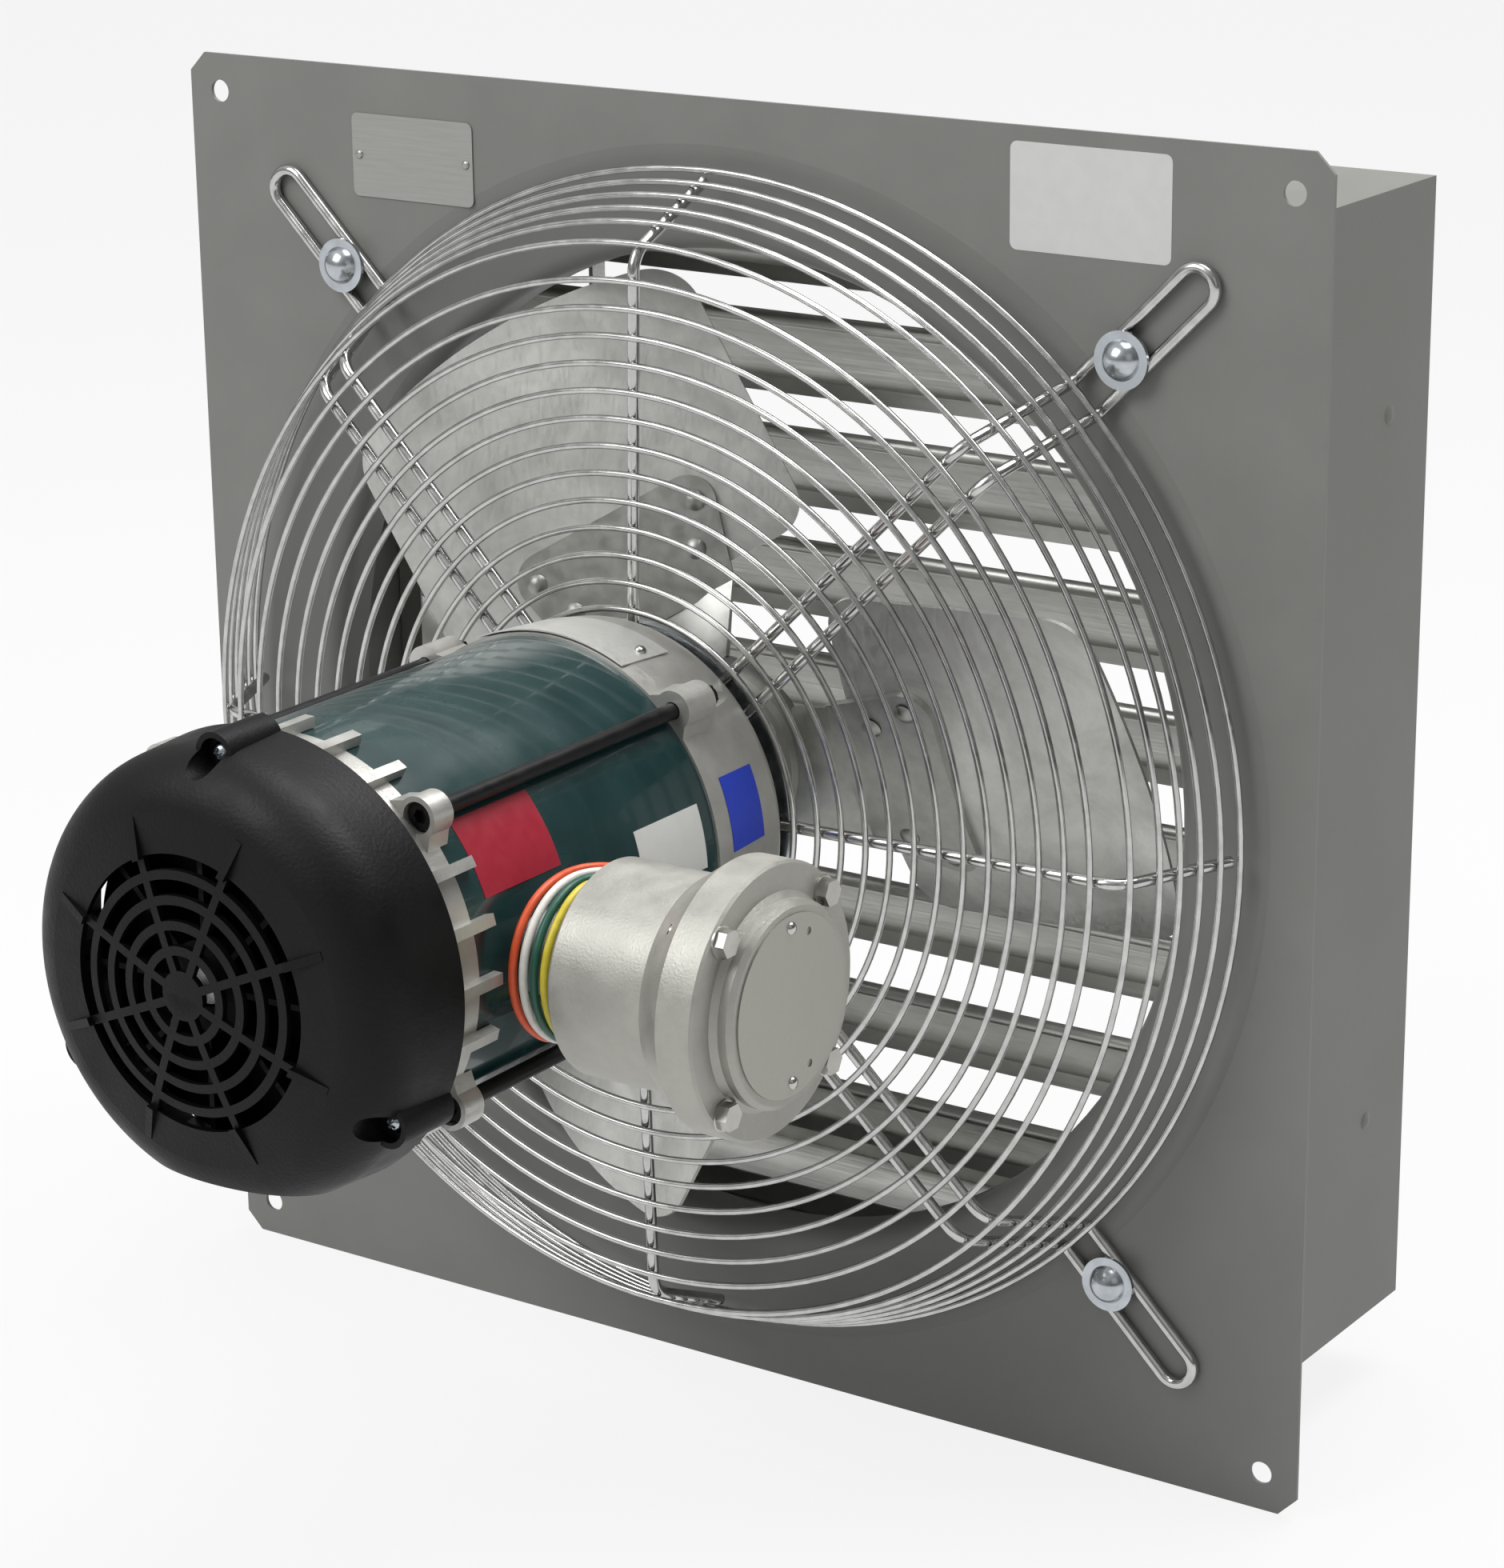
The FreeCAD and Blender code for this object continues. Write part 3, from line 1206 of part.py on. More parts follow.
def conduit_cover_bolts():
    """Hexagon bolts with a washer face."""
    solids = []
    for y, z in box_bolt_places():
        solids.append(fused([
            rod_x(BOX_BOLT_WASHER, BOX_COVER_X, BOX_COVER_X + BOX_BOLT_WASHER_SHEET, y, z),
            hexagon_x(BOX_BOLT_HEAD_WIDTH, BOX_COVER_X, BOX_COVER_X + BOX_BOLT_HEAD_HEIGHT, y, z),
            rod_x(BOX_BOLT_RADIUS, BOX_COVER_X - BOX_BOLT_LENGTH, BOX_COVER_X, y, z),
        ]))
    return group(solids)


def lead_start(index):
    """Y of a lead where it leaves the barrel; the outer leads start further forward."""
    return BOX_Y + LEAD_SPREAD * (index + 1)


def lead_seat():
    """X of the grommet's top, where the leads come out."""
    return math.sqrt(BARREL_RADIUS ** 2 - LEAD_LOOP_RADIUS ** 2) + GROMMET_HEIGHT


def lead(index):
    """Motor lead: out of the barrel, round the back of the nipple and into the box."""
    x = LEAD_FIRST_X + index * LEAD_STEP_X
    top = LEAD_LOOP_RADIUS
    out_y = lead_start(index)
    in_y = lead_start(len(LEAD_NAMES) - 1 - index)
    out_bend = min(LEAD_BEND, x - lead_seat() - LEAD_STRAIGHT, out_y - BOX_Y - LEAD_STRAIGHT)
    in_bend = min(LEAD_BEND, BOX_BASE_X - x - LEAD_STRAIGHT, in_y - BOX_Y - LEAD_STRAIGHT)
    first = rounded_path(
        [Vector(lead_seat(), out_y, -top), Vector(x, out_y, -top), Vector(x, BOX_Y, -top)], [out_bend],
    )
    loop = Part.Arc(
        Vector(x, BOX_Y, -top), Vector(x, BOX_Y - top, 0), Vector(x, BOX_Y, top),
    ).toShape()
    last = rounded_path(
        [Vector(x, BOX_Y, top), Vector(x, in_y, top), Vector(BOX_BASE_X, in_y, top)], [in_bend],
    )
    return wire_rod(first + [loop] + last, LEAD_RADIUS)


def lead_grommet():
    """Rubber strip on the barrel where the leads come out."""
    z = -LEAD_LOOP_RADIUS
    half = GROMMET_WIDTH / 2
    x0 = STATOR_BORE
    x1 = lead_seat()
    y0 = lead_start(0)
    y1 = lead_start(len(LEAD_NAMES) - 1)
    strip = fused([
        box(x0, x1, y0, y1, z - half, z + half),
        rod_x(half, x0, x1, y0, z),
        rod_x(half, x0, x1, y1, z),
    ])
    return strip.cut(rod_y(BARREL_RADIUS + SEAT, y0 - half, y1 + half))


# Propeller

def blade_frame():
    """Placement of a blade's own axes: chord, span and front normal."""
    pitch = math.radians(BLADE_PITCH)
    chord = Vector(0, math.sin(pitch), -math.cos(pitch))
    span = Vector(1, 0, 0)
    normal = chord.cross(span)
    return Matrix(
        chord.x, span.x, normal.x, 0,
        chord.y, span.y, normal.y, BLADE_MID_Y,
        chord.z, span.z, normal.z, 0,
        0, 0, 0, 1,
    )


def placed(shape, turn):
    """Shape from a blade's own axes, set at its angle round the motor axis."""
    copy = shape.copy()
    copy.Placement = FreeCAD.Placement(blade_frame()).multiply(copy.Placement)
    return turned(copy, turn)


def curved_slab(inner, outer, low, high):
    """Slab bent round the blade's camber, over its whole chord."""
    reach = math.asin(CAMBER_REACH * BLADE_CHORD / BLADE_CAMBER_RADIUS)

    def arc(radius):
        at = [-reach, 0, reach]
        return [Vector(radius * math.sin(a), low, radius * math.cos(a) - BLADE_CAMBER_RADIUS) for a in at]

    front = arc(outer)
    back = arc(inner)
    face = Part.Face(Part.Wire([
        Part.Arc(*front).toShape(),
        line(front[2], back[2]),
        Part.Arc(*reversed(back)).toShape(),
        line(back[0], front[0]),
    ]))
    return face.extrude(Vector(0, high - low, 0))


def tip_reach(chord_place):
    """Span of the blade at a place along its chord, out to the tip circle."""
    across = chord_place * math.cos(math.radians(BLADE_PITCH))
    return math.sqrt(PROPELLER_RADIUS ** 2 - across ** 2)


def outline_prism(points, rounds, bulge=None):
    """Prism through the sheet from a plan outline, with rounded corners."""
    low = -PLAN_DEPTH / 2
    vectors = [Vector(c, s, low) for c, s in points]
    edges = [line(a, b) for a, b in zip(vectors, vectors[1:] + vectors[:1])]
    if bulge:
        edges[2] = Part.Arc(vectors[2], Vector(bulge[0], bulge[1], low), vectors[3]).toShape()
    prism = Part.Face(Part.Wire(edges)).extrude(Vector(0, 0, PLAN_DEPTH))
    for (c, s), radius in zip(points, rounds):
        near = [e for e in prism.Edges if stands_at(e, c, s)]
        prism = prism.makeFillet(radius, near) if radius else prism
    return prism


def stands_at(edge, c, s):
    """Whether an edge of a prism stands on a plan point."""
    return all(abs(v.X - c) < 0.01 and abs(v.Y - s) < 0.01 for v in edge.Vertexes)


def arm_rivet_places():
    return [(side * c, s) for s, c in ARM_RIVETS for side in (-1, 1)]


def rivet_bores(radius):
    low = -PLAN_DEPTH / 2
    return [Part.makeCylinder(radius, PLAN_DEPTH, Vector(c, s, low)) for c, s in arm_rivet_places()]


def blade(index):
    """Cambered sheet blade with rounded corners and a round tip."""
    lead_edge = -BLADE_CHORD / 2 - BLADE_LEAD
    trail_edge = BLADE_CHORD / 2 - BLADE_LEAD
    points = [
        (lead_edge, BLADE_ROOT), (trail_edge, BLADE_ROOT),
        (trail_edge, tip_reach(trail_edge)), (lead_edge, tip_reach(lead_edge)),
    ]
    rounds = (BLADE_ROOT_ROUND, BLADE_ROOT_ROUND, BLADE_TIP_ROUND, BLADE_TIP_ROUND)
    plan = outline_prism(points, rounds, (0, PROPELLER_RADIUS))
    slab = curved_slab(
        BLADE_CAMBER_RADIUS - BLADE_SHEET, BLADE_CAMBER_RADIUS,
        BLADE_ROOT - PLAN_MARGIN, PROPELLER_RADIUS + PLAN_MARGIN,
    )
    sheet = cut(slab.common(plan), rivet_bores(RIVET_RADIUS + SEAT))
    return placed(sheet, FIRST_BLADE - index * 360 / BLADE_COUNT)


def spider_back():
    """Back face of the spider's disc, level with the back of the arms at mid chord."""
    return BLADE_MID_Y - SEAT


def spider_arm():
    """Arm that widens from the hub to the blade, in the blade's own axes."""
    half_end = ARM_END_WIDTH / 2
    half_root = ARM_ROOT_WIDTH / 2
    points = [(-half_root, ARM_ROOT), (half_root, ARM_ROOT), (half_end, ARM_END), (-half_end, ARM_END)]
    plan = outline_prism(points, (0, 0, ARM_CORNER_ROUND, ARM_CORNER_ROUND))
    inner = BLADE_CAMBER_RADIUS + SEAT
    slab = curved_slab(inner, inner + ARM_SHEET, ARM_ROOT - PLAN_MARGIN, ARM_END + PLAN_MARGIN)
    return cut(slab.common(plan), rivet_bores(RIVET_RADIUS + SEAT))


def arm_neck():
    """Twisted web between the spider's disc and the arm along +X."""
    half_root = ARM_ROOT_WIDTH / 2
    sag = half_root ** 2 / (2 * BLADE_CAMBER_RADIUS)
    matrix = blade_frame()
    span = ARM_ROOT + ARM_LAP
    outer = [
        matrix.multVec(Vector(c, span, m - sag / 2 + SEAT))
        for c, m in ((-half_root, 0), (half_root, 0), (half_root, ARM_SHEET), (-half_root, ARM_SHEET))
    ]
    half_neck = ARM_NECK_WIDTH / 2
    back = spider_back()
    inner = [
        Vector(ARM_NECK, y, z)
        for z, y in ((half_neck, back), (-half_neck, back), (-half_neck, back - ARM_SHEET),
                     (half_neck, back - ARM_SHEET))
    ]
    wires = [Part.makePolygon(points + points[:1]) for points in (inner, outer)]
    return Part.makeLoft(wires, True, True)


def spider():
    """Three-armed spider that carries the blades."""
    back = spider_back()
    disc = rod_y(SPIDER_RADIUS, back - ARM_SHEET, back)
    pieces = [disc]
    for index in range(BLADE_COUNT):
        turn = FIRST_BLADE - index * 360 / BLADE_COUNT
        pieces.append(placed(spider_arm(), turn))
        pieces.append(turned(arm_neck(), turn))
    bore = rod_y(SHAFT_END_RADIUS + LOOSE_FIT, back - ARM_SHEET, back)
    holes = [rod_y(RIVET_RADIUS + SEAT, back - ARM_SHEET, back, x, z) for x, z in hub_rivet_places()]
    return cut(fused(pieces), [bore] + holes)


def hub_rivet_places():
    step = 360 / HUB_RIVET_COUNT
    return [polar(HUB_RIVET_CIRCLE, FIRST_BLADE + (i + 0.5) * step) for i in range(HUB_RIVET_COUNT)]


def fan_hub():
    """Hub with a flange in front of the spider."""
    y1 = spider_back() - ARM_SHEET
    y0 = y1 - HUB_FLANGE
    body = fused([rod_y(HUB_RADIUS, HUB_FRONT, y1), rod_y(HUB_FLANGE_RADIUS, y0, y1)])
    holes = [rod_y(RIVET_RADIUS + SEAT, y0, y1, x, z) for x, z in hub_rivet_places()]
    screw = Part.makeCylinder(
        HUB_SCREW_RADIUS + SEAT, HUB_RADIUS, Vector(0, HUB_SCREW_Y, 0), Vector(0, 0, 1),
    )
    screw = turned(screw, FIRST_BLADE)
    return cut(body, holes + [screw, rod_y(SHAFT_END_RADIUS + SEAT / 2, HUB_FRONT, y1)])


def hub_set_screw():
    """Square-headed screw that locks the hub to the shaft."""
    low = SHAFT_END_RADIUS + SEAT
    shank = Part.makeCylinder(
        HUB_SCREW_RADIUS, HUB_RADIUS + HUB_SCREW_STAND - low, Vector(0, HUB_SCREW_Y, low), Vector(0, 0, 1),
    )
    side = HUB_SCREW_RADIUS
    z0 = HUB_RADIUS + HUB_SCREW_STAND
    head = box(-side, side, HUB_SCREW_Y - side, HUB_SCREW_Y + side, z0, z0 + HUB_SCREW_HEAD)
    return turned(fused([shank, head]), FIRST_BLADE)


def rivet(grip_low, grip_high):
    """Dome-headed rivet along Z that grips between two heights."""
    low = grip_low - SEAT
    high = grip_high + SEAT
    dome = dome_y(RIVET_HEAD, RIVET_DOME, 0, 1)
    dome.rotate(ORIGIN, Vector(1, 0, 0), 90)
    top = dome.copy()
    top.translate(Vector(0, 0, high))
    bottom = dome.copy()
    bottom.rotate(ORIGIN, Vector(1, 0, 0), 180)
    bottom.translate(Vector(0, 0, low))
    return fused([top, bottom, Part.makeCylinder(RIVET_RADIUS, high - low, Vector(0, 0, low))])


def blade_rivets():
    """Rivets of all the blades."""
    solids = []
    for index in range(BLADE_COUNT):
        turn = FIRST_BLADE - index * 360 / BLADE_COUNT
        for c, s in arm_rivet_places():
            sag = BLADE_CAMBER_RADIUS - math.sqrt(BLADE_CAMBER_RADIUS ** 2 - c ** 2)
            tilt = c / BLADE_CAMBER_RADIUS * RIVET_HEAD
            solid = rivet(-BLADE_SHEET - sag - abs(tilt), ARM_SHEET + SEAT - sag + abs(tilt))
            solid.translate(Vector(c, s, 0))
            solids.append(placed(solid, turn))
    return group(solids)


def hub_rivets():
    """Rivets between the hub flange and the spider."""
    back = spider_back()
    body = rivet(0, ARM_SHEET + HUB_FLANGE)
    body.rotate(ORIGIN, Vector(1, 0, 0), 90)
    solids = []
    for x, z in hub_rivet_places():
        solid = body.copy()
        solid.translate(Vector(x, back, z))
        solids.append(solid)
    return group(solids)


def nodes():
    """Every piece by its node name."""
    pieces = {
        "front_panel": front_panel(),
        "wall_sleeve": wall_sleeve(),
        "shutter_frame": shutter_frame(),
        "shutter_rivets": shutter_rivets(),
        "louver_bushings": louver_bushings(),
        "tie_bar": tie_bar(),
        "guard_spokes": guard_spokes(),
        "guard_legs": guard_legs(),
        "guard_front_rings": guard_front_rings(),
        "guard_side_rings": guard_side_rings(),
        "guard_screws": guard_screws(),
        "guard_nuts": guard_nuts(),
        "motor_mount_plate": motor_mount_plate(),
        "motor_mount_bolts": motor_mount_bolts(),
        "motor_barrel": motor_barrel(),
        "front_end_bell": front_end_bell(),
        "rear_end_bell": rear_end_bell(),
        "front_bearing": front_bearing(),
        "rear_bearing": rear_bearing(),
        "stator_core": stator_core(),
        "stator_windings": stator_windings(),
        "through_bolts": through_bolts(),
        "through_bolt_nuts": through_bolt_nuts(),
        "fan_cover": fan_cover(),
        "fan_cover_screws": fan_cover_screws(),
        "conduit_nipple": conduit_nipple(),
        "conduit_box": conduit_box(),
        "conduit_cover": conduit_cover(),
        "conduit_cover_bolts": conduit_cover_bolts(),
        "lead_grommet": lead_grommet(),
        "motor_shaft": motor_shaft(),
        "rotor_core": rotor_core(),
        "cooling_fan": cooling_fan(),
        "fan_hub": fan_hub(),
        "hub_set_screw": hub_set_screw(),
        "spider": spider(),
        "hub_rivets": hub_rivets(),
        "blade_rivets": blade_rivets(),
    }
    for index in range(BLADE_COUNT):
        pieces["blade_%d" % (index + 1)] = blade(index)
    for index in range(LOUVER_COUNT):
        pieces["louver_%d" % (index + 1)] = louver(index)
    for index, name in enumerate(LEAD_NAMES):
        pieces[name] = lead(index)
    return pieces


os.makedirs("parts", exist_ok=True)
for node, shape in nodes().items():
    shape.exportStep("parts/%s.step" % node)
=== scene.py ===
"""Finishes and fine pieces of a shutter-mounted wall exhaust fan, around its CAD frame."""
import math

import bmesh
import bpy
from bpy.props import FloatProperty, FloatVectorProperty, IntProperty, PointerProperty
from mathutils import Matrix, Vector


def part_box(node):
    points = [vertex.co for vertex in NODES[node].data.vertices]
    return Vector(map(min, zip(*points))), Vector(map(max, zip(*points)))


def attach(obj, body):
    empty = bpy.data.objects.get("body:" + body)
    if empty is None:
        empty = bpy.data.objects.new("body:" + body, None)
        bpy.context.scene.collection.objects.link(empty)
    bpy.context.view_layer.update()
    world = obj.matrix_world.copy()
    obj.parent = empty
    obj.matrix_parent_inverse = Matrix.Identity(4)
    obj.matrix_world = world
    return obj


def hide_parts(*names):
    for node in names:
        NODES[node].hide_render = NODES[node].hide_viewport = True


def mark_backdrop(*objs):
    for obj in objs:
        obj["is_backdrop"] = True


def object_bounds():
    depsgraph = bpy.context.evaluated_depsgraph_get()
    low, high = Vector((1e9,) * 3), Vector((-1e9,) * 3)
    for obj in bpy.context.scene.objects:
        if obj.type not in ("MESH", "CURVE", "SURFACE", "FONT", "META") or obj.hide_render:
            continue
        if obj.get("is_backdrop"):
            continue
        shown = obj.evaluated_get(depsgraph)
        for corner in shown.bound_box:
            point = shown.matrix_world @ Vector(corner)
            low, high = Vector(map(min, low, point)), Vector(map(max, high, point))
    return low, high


bl_info = {
    "name": "Wall Exhaust Fan",
    "version": (1, 0, 0),
    "blender": (4, 5, 0),
    "location": "View3D > Sidebar > Exhaust Fan",
    "description": "Dresses the CAD frame of a wall exhaust fan with finishes, wires, plates and a stage",
    "category": "Object",
}

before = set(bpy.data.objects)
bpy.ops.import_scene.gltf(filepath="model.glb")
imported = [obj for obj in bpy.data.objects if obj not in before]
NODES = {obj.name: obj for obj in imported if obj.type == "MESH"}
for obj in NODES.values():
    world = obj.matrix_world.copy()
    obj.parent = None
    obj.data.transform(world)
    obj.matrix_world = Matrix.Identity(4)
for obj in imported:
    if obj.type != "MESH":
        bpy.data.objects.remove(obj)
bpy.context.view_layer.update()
MM = 0.001


def metres(*millimetres):
    """Millimetres as metres."""
    return tuple(value * MM for value in millimetres)


# Points nearer than this count as one
TOUCHING = 1e-6

# Patterns: stretch of streaks along X or along Z and of brush lines, values that count as the low
# and the high end of a pattern, and bands of a wave texture in one unit at a scale of 1
ALONG_X = (0.03, 1.0, 1.0)
ALONG_Z = (1.0, 1.0, 0.03)
BRUSHED = (0.04, 1.0, 1.0)
PATTERN_LOW = 0.3
PATTERN_HIGH = 0.7
WAVE_BANDS = 20 / math.tau

# Motor leads, from the barrel outwards: nodes and colours, X of the first one, step in X to the next,
# and step in Y between their ends
LEAD_COLOURS = (
    ("lead_orange", "#d8542a"),
    ("lead_white", "#e2e0d8"),
    ("lead_green", "#1d5646"),
    ("lead_yellow", "#d0c038"),
)
LEAD_FIRST_X = 87.5 * MM
LEAD_STEP_X = 4.7 * MM
LEAD_SPREAD = 5 * MM
# Half the side of an octagon round a circle of radius 1, for the control points of a round bow
OCTAGON = math.tan(math.pi / 8)

# Points of the CAD rings that lie further apart than this belong to different rings
RING_GAP = 3 * MM

# Height of a head as a share of its radius
DRIVE_SCREW_RISE = 0.65
RIVET_RISE = 0.5
# Spare holes of the round plate: Y in head radii of a drive screw, Z as a share of the screws' Z
SPARE_HOLE_ALONG = 4.5
SPARE_HOLE_UP = 0.86
DISC_SEGMENTS = 72
HOLE_SEGMENTS = 24

# Bare plates on the panel: X and Z of the low corner, then of the high corner
NAMEPLATE = (metres(-184.5, 218.5), metres(-121, 253.5))
PANEL_STICKER = (metres(136.5, 225.5), metres(206.4, 267))
RIVET_INSET = 3.6 * MM

# Bare plates round the motor: Y of both ends, then first and last angle in degrees from +X towards +Z
RED_STICKER = (metres(-259, -214), (20, 42))
WHITE_STICKER = (metres(-169, -128), (2, 20))
BLUE_STICKER = (metres(-111.5, -87.5), (3, 24))
BRIGHT_PLATE = (metres(-120, -88), (64, 115))
# Screw of the bright plate: Y, and its angle in degrees
PLATE_SCREW_Y = -101 * MM
PLATE_SCREW_ANGLE = 67.5
# How far the front bell stands out from the barrel, at its rim and at its neck
BELL_RIM = 1.2 * MM
BELL_NECK = -1.1 * MM
# Room under a sticker, and under the bright plate at the rim and at the neck of the bell
STICKER_ROOM = 0.02 * MM
PLATE_ROOM_RIM = 0.7 * MM
PLATE_ROOM_NECK = 0.4 * MM

# Stage: half the floor's side, its gap to the part, its grey, and how much of it glows
FLOOR_HALF = 60
FLOOR_GAP = 0.5 * MM
FLOOR_GREY = 0.6
FLOOR_GLOW = 0.86
# Softboxes: name, place and side in metres, and power in watts
SOFTBOXES = (
    ("key_softbox", (-0.9, -1.9, 1.9), 1.5, 42),
    ("fill_softbox", (2.2, -1.4, 1.1), 1.4, 2),
    ("top_softbox", (0.4, 0.5, 2.2), 1.6, 64),
)
LAMP_AIM = (0, -0.1, 0)
# Camera of the photograph: metres, degrees, millimetres of lens and shares of the picture
CAMERA_PLACE = (0.969135, -1.397176, 0.523575)
CAMERA_TURN = (72.4026, 0.6555, 34.1511)
CAMERA_LENS = 98.593
CAMERA_SHIFT_X = -0.0007
CAMERA_SHIFT_Y = 0.0058


def srgb(code):
    """Linear colour from an sRGB hex value."""
    channels = [int(code[i:i + 2], 16) / 255 for i in (1, 3, 5)]
    return tuple(c / 12.92 if c <= 0.04045 else ((c + 0.055) / 1.055) ** 2.4 for c in channels)


def colour(name, description, code):
    """Colour property with its default from an sRGB hex value."""
    return FloatVectorProperty(
        name=name, description=description, subtype="COLOR", size=3, min=0, max=1, default=srgb(code),
    )


def length(name, description, millimetres):
    """Length property with its default from millimetres."""
    return FloatProperty(
        name=name, description=description, default=millimetres * MM, min=0,
        unit="LENGTH", subtype="DISTANCE",
    )


def count(name, description, default, low, high):
    """Whole number property with its limits."""
    return IntProperty(name=name, description=description, default=default, min=low, max=high)


class FanColours(bpy.types.PropertyGroup):
    """Colours that a user would change."""
    panel: colour("Panel", "Baked enamel of the panel", "#7a7a77")
    sleeve: colour("Sleeve", "Baked enamel of the wall sleeve", "#747570")
    barrel: colour("Barrel", "Gloss enamel of the motor barrel", "#0f2d2e")
    casting: colour("Castings", "Cast aluminium of the end bells", "#c6c5c0")
    conduit: colour("Conduit box", "Silver coat on the conduit box", "#adaca5")
    cover: colour("Fan cover", "Black moulded fan cover", "#080709")
    blades: colour("Blades", "Mill aluminium of the blades", "#dcdcd8")
    spider: colour("Spider", "Zinc plate on the spider", "#b9b9b5")
    louvers: colour("Louvers", "Mill aluminium of the louvers", "#cacac6")
    wire: colour("Guard wire", "Plated steel wire of the guard", "#c8c8c6")
    red_sticker: colour("Red sticker", "Plain sticker near the rear bell", "#9c2032")
    blue_sticker: colour("Blue sticker", "Plain sticker on the front bell", "#1a3bbd")


class FanSizes(bpy.types.PropertyGroup):
    """Sizes of the pieces that are made here."""
    ring_wire: length("Ring wire", "Diameter of the guard's ring wire", 2.7)
    ring_sides: count("Wire sides", "Faces round a wire", 10, 6, 24)
    ring_steps: count("Ring steps", "Segments of a guard ring", 144, 48, 256)
    plate: length("Plate", "Thickness of the metal plates", 0.6)
    sticker: length("Sticker", "Thickness of the stickers", 0.15)
    plate_round: length("Plate corner", "Corner radius of plates and stickers", 3.0)
    plate_rivet: length("Plate rivet", "Head radius of the nameplate's rivets", 2.0)
    disc: length("Disc plate", "Radius of the round plate on the conduit cover", 33.5)
    drive_screw: length("Drive screw", "Head radius of the drive screws", 2.4)
    spare_hole: length("Spare hole", "Radius of the spare holes in the round plate", 1.5)
    lead: length("Lead", "Diameter of the motor leads", 3.2)


class FanSettings(bpy.types.PropertyGroup):
    """Everything the panel shows."""
    colours: PointerProperty(type=FanColours)
    sizes: PointerProperty(type=FanSizes)


def colours():
    """Colours as they are set in the scene."""
    return bpy.context.scene.exhaust_fan.colours


def sizes():
    """Sizes as they are set in the scene."""
    return bpy.context.scene.exhaust_fan.sizes


def paint(nodes, material):
    """Gives CAD nodes a material."""
    for node in nodes:
        mesh = NODES[node].data
        mesh.materials.clear()
        mesh.materials.append(material)


def finish_piece(name, builder, material, body, sharp=40):
    """Object at the origin from a bmesh, smooth but for edges sharper than some degrees, riding a body."""
    bmesh.ops.recalc_face_normals(builder, faces=builder.faces)
    for face in builder.faces:
        face.smooth = True
    for edge in builder.edges:
        edge.smooth = not edge.is_manifold or edge.calc_face_angle(0) < math.radians(sharp)
    mesh = bpy.data.meshes.new(name)
    builder.to_mesh(mesh)
    builder.free()
    mesh.materials.append(material)
    piece = bpy.data.objects.new(name, mesh)
    bpy.context.scene.collection.objects.link(piece)
    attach(piece, body)
    return piece


# Finishes


def add(tree, kind, settings=None, links=None):
    """Adds one node, sets its properties and input values, and links its inputs."""
    node = tree.nodes.new(kind)
    for key, value in (settings or {}).items():
        if isinstance(key, int) or key in node.inputs:
            node.inputs[key].default_value = value
        else:
            setattr(node, key, value)
    for key, socket in (links or {}).items():
        tree.links.new(socket, node.inputs[key])
    return node


def rgba(channels):
    """Opaque colour from its first three channels."""
    return tuple(channels)[:3] + (1.0,)


def grains(millimetres):
    """Noise scale whose grains are about a size in millimetres."""
    return 1 / (millimetres * MM)


def surface(name, base, **settings):
    """New material with one Principled shader, and its tree, shader and Object coordinates."""
    material = bpy.data.materials.new(name)
    material.use_nodes = True
    tree = material.node_tree
    tree.nodes.clear()
    shader = add(tree, "ShaderNodeBsdfPrincipled", {"Base Color": rgba(base), **settings})
    add(tree, "ShaderNodeOutputMaterial", links={"Surface": shader.outputs["BSDF"]})
    place = add(tree, "ShaderNodeTexCoord")
    return material, tree, shader, place.outputs["Object"]


def vary(tree, shader, pattern, tones=None, rough=None, relief=None):
    """Lets a pattern vary a finish: colour between two shares of its base, roughness between two
    values, and relief of a strength and a depth in millimetres."""
    level = pattern.outputs["Fac"]
    if tones:
        base = shader.inputs["Base Color"]
        tone = add(tree, "ShaderNodeValToRGB", links={"Fac": level})
        for stop, place, share in zip(tone.color_ramp.elements, (PATTERN_LOW, PATTERN_HIGH), tones):
            stop.position = place
            stop.color = rgba(min(1.0, channel * share) for channel in base.default_value)
        tree.links.new(tone.outputs["Color"], base)
    if rough:
        ends = {"From Min": PATTERN_LOW, "From Max": PATTERN_HIGH, "To Min": rough[0], "To Max": rough[1]}
        sheen = add(tree, "ShaderNodeMapRange", ends, {"Value": level})
        tree.links.new(sheen.outputs["Result"], shader.inputs["Roughness"])
    if relief:
        depth = {"Strength": relief[0], "Distance": relief[1] * MM}
        bump = add(tree, "ShaderNodeBump", depth, {"Height": level})
        tree.links.new(bump.outputs["Normal"], shader.inputs["Normal"])


def baked_enamel(name, base):
    """Baked enamel on steel sheet: even satin grey, slightly cloudy, with a faint orange peel."""
    material, tree, shader, place = surface(name, base, **{"Coat Weight": 0.12, "Coat Roughness": 0.35})
    cloud = add(tree, "ShaderNodeTexNoise", {"Scale": grains(45), "Detail": 5.0}, {"Vector": place})
    vary(tree, shader, cloud, tones=(0.92, 1.04), rough=(0.44, 0.56))
    # Orange peel is about half a millimetre; it is drawn coarser so that it shows
    peel = add(tree, "ShaderNodeTexNoise", {"Scale": grains(1.8), "Detail": 2.0}, {"Vector": place})
    vary(tree, shader, peel, relief=(0.15, 0.25))
    return material


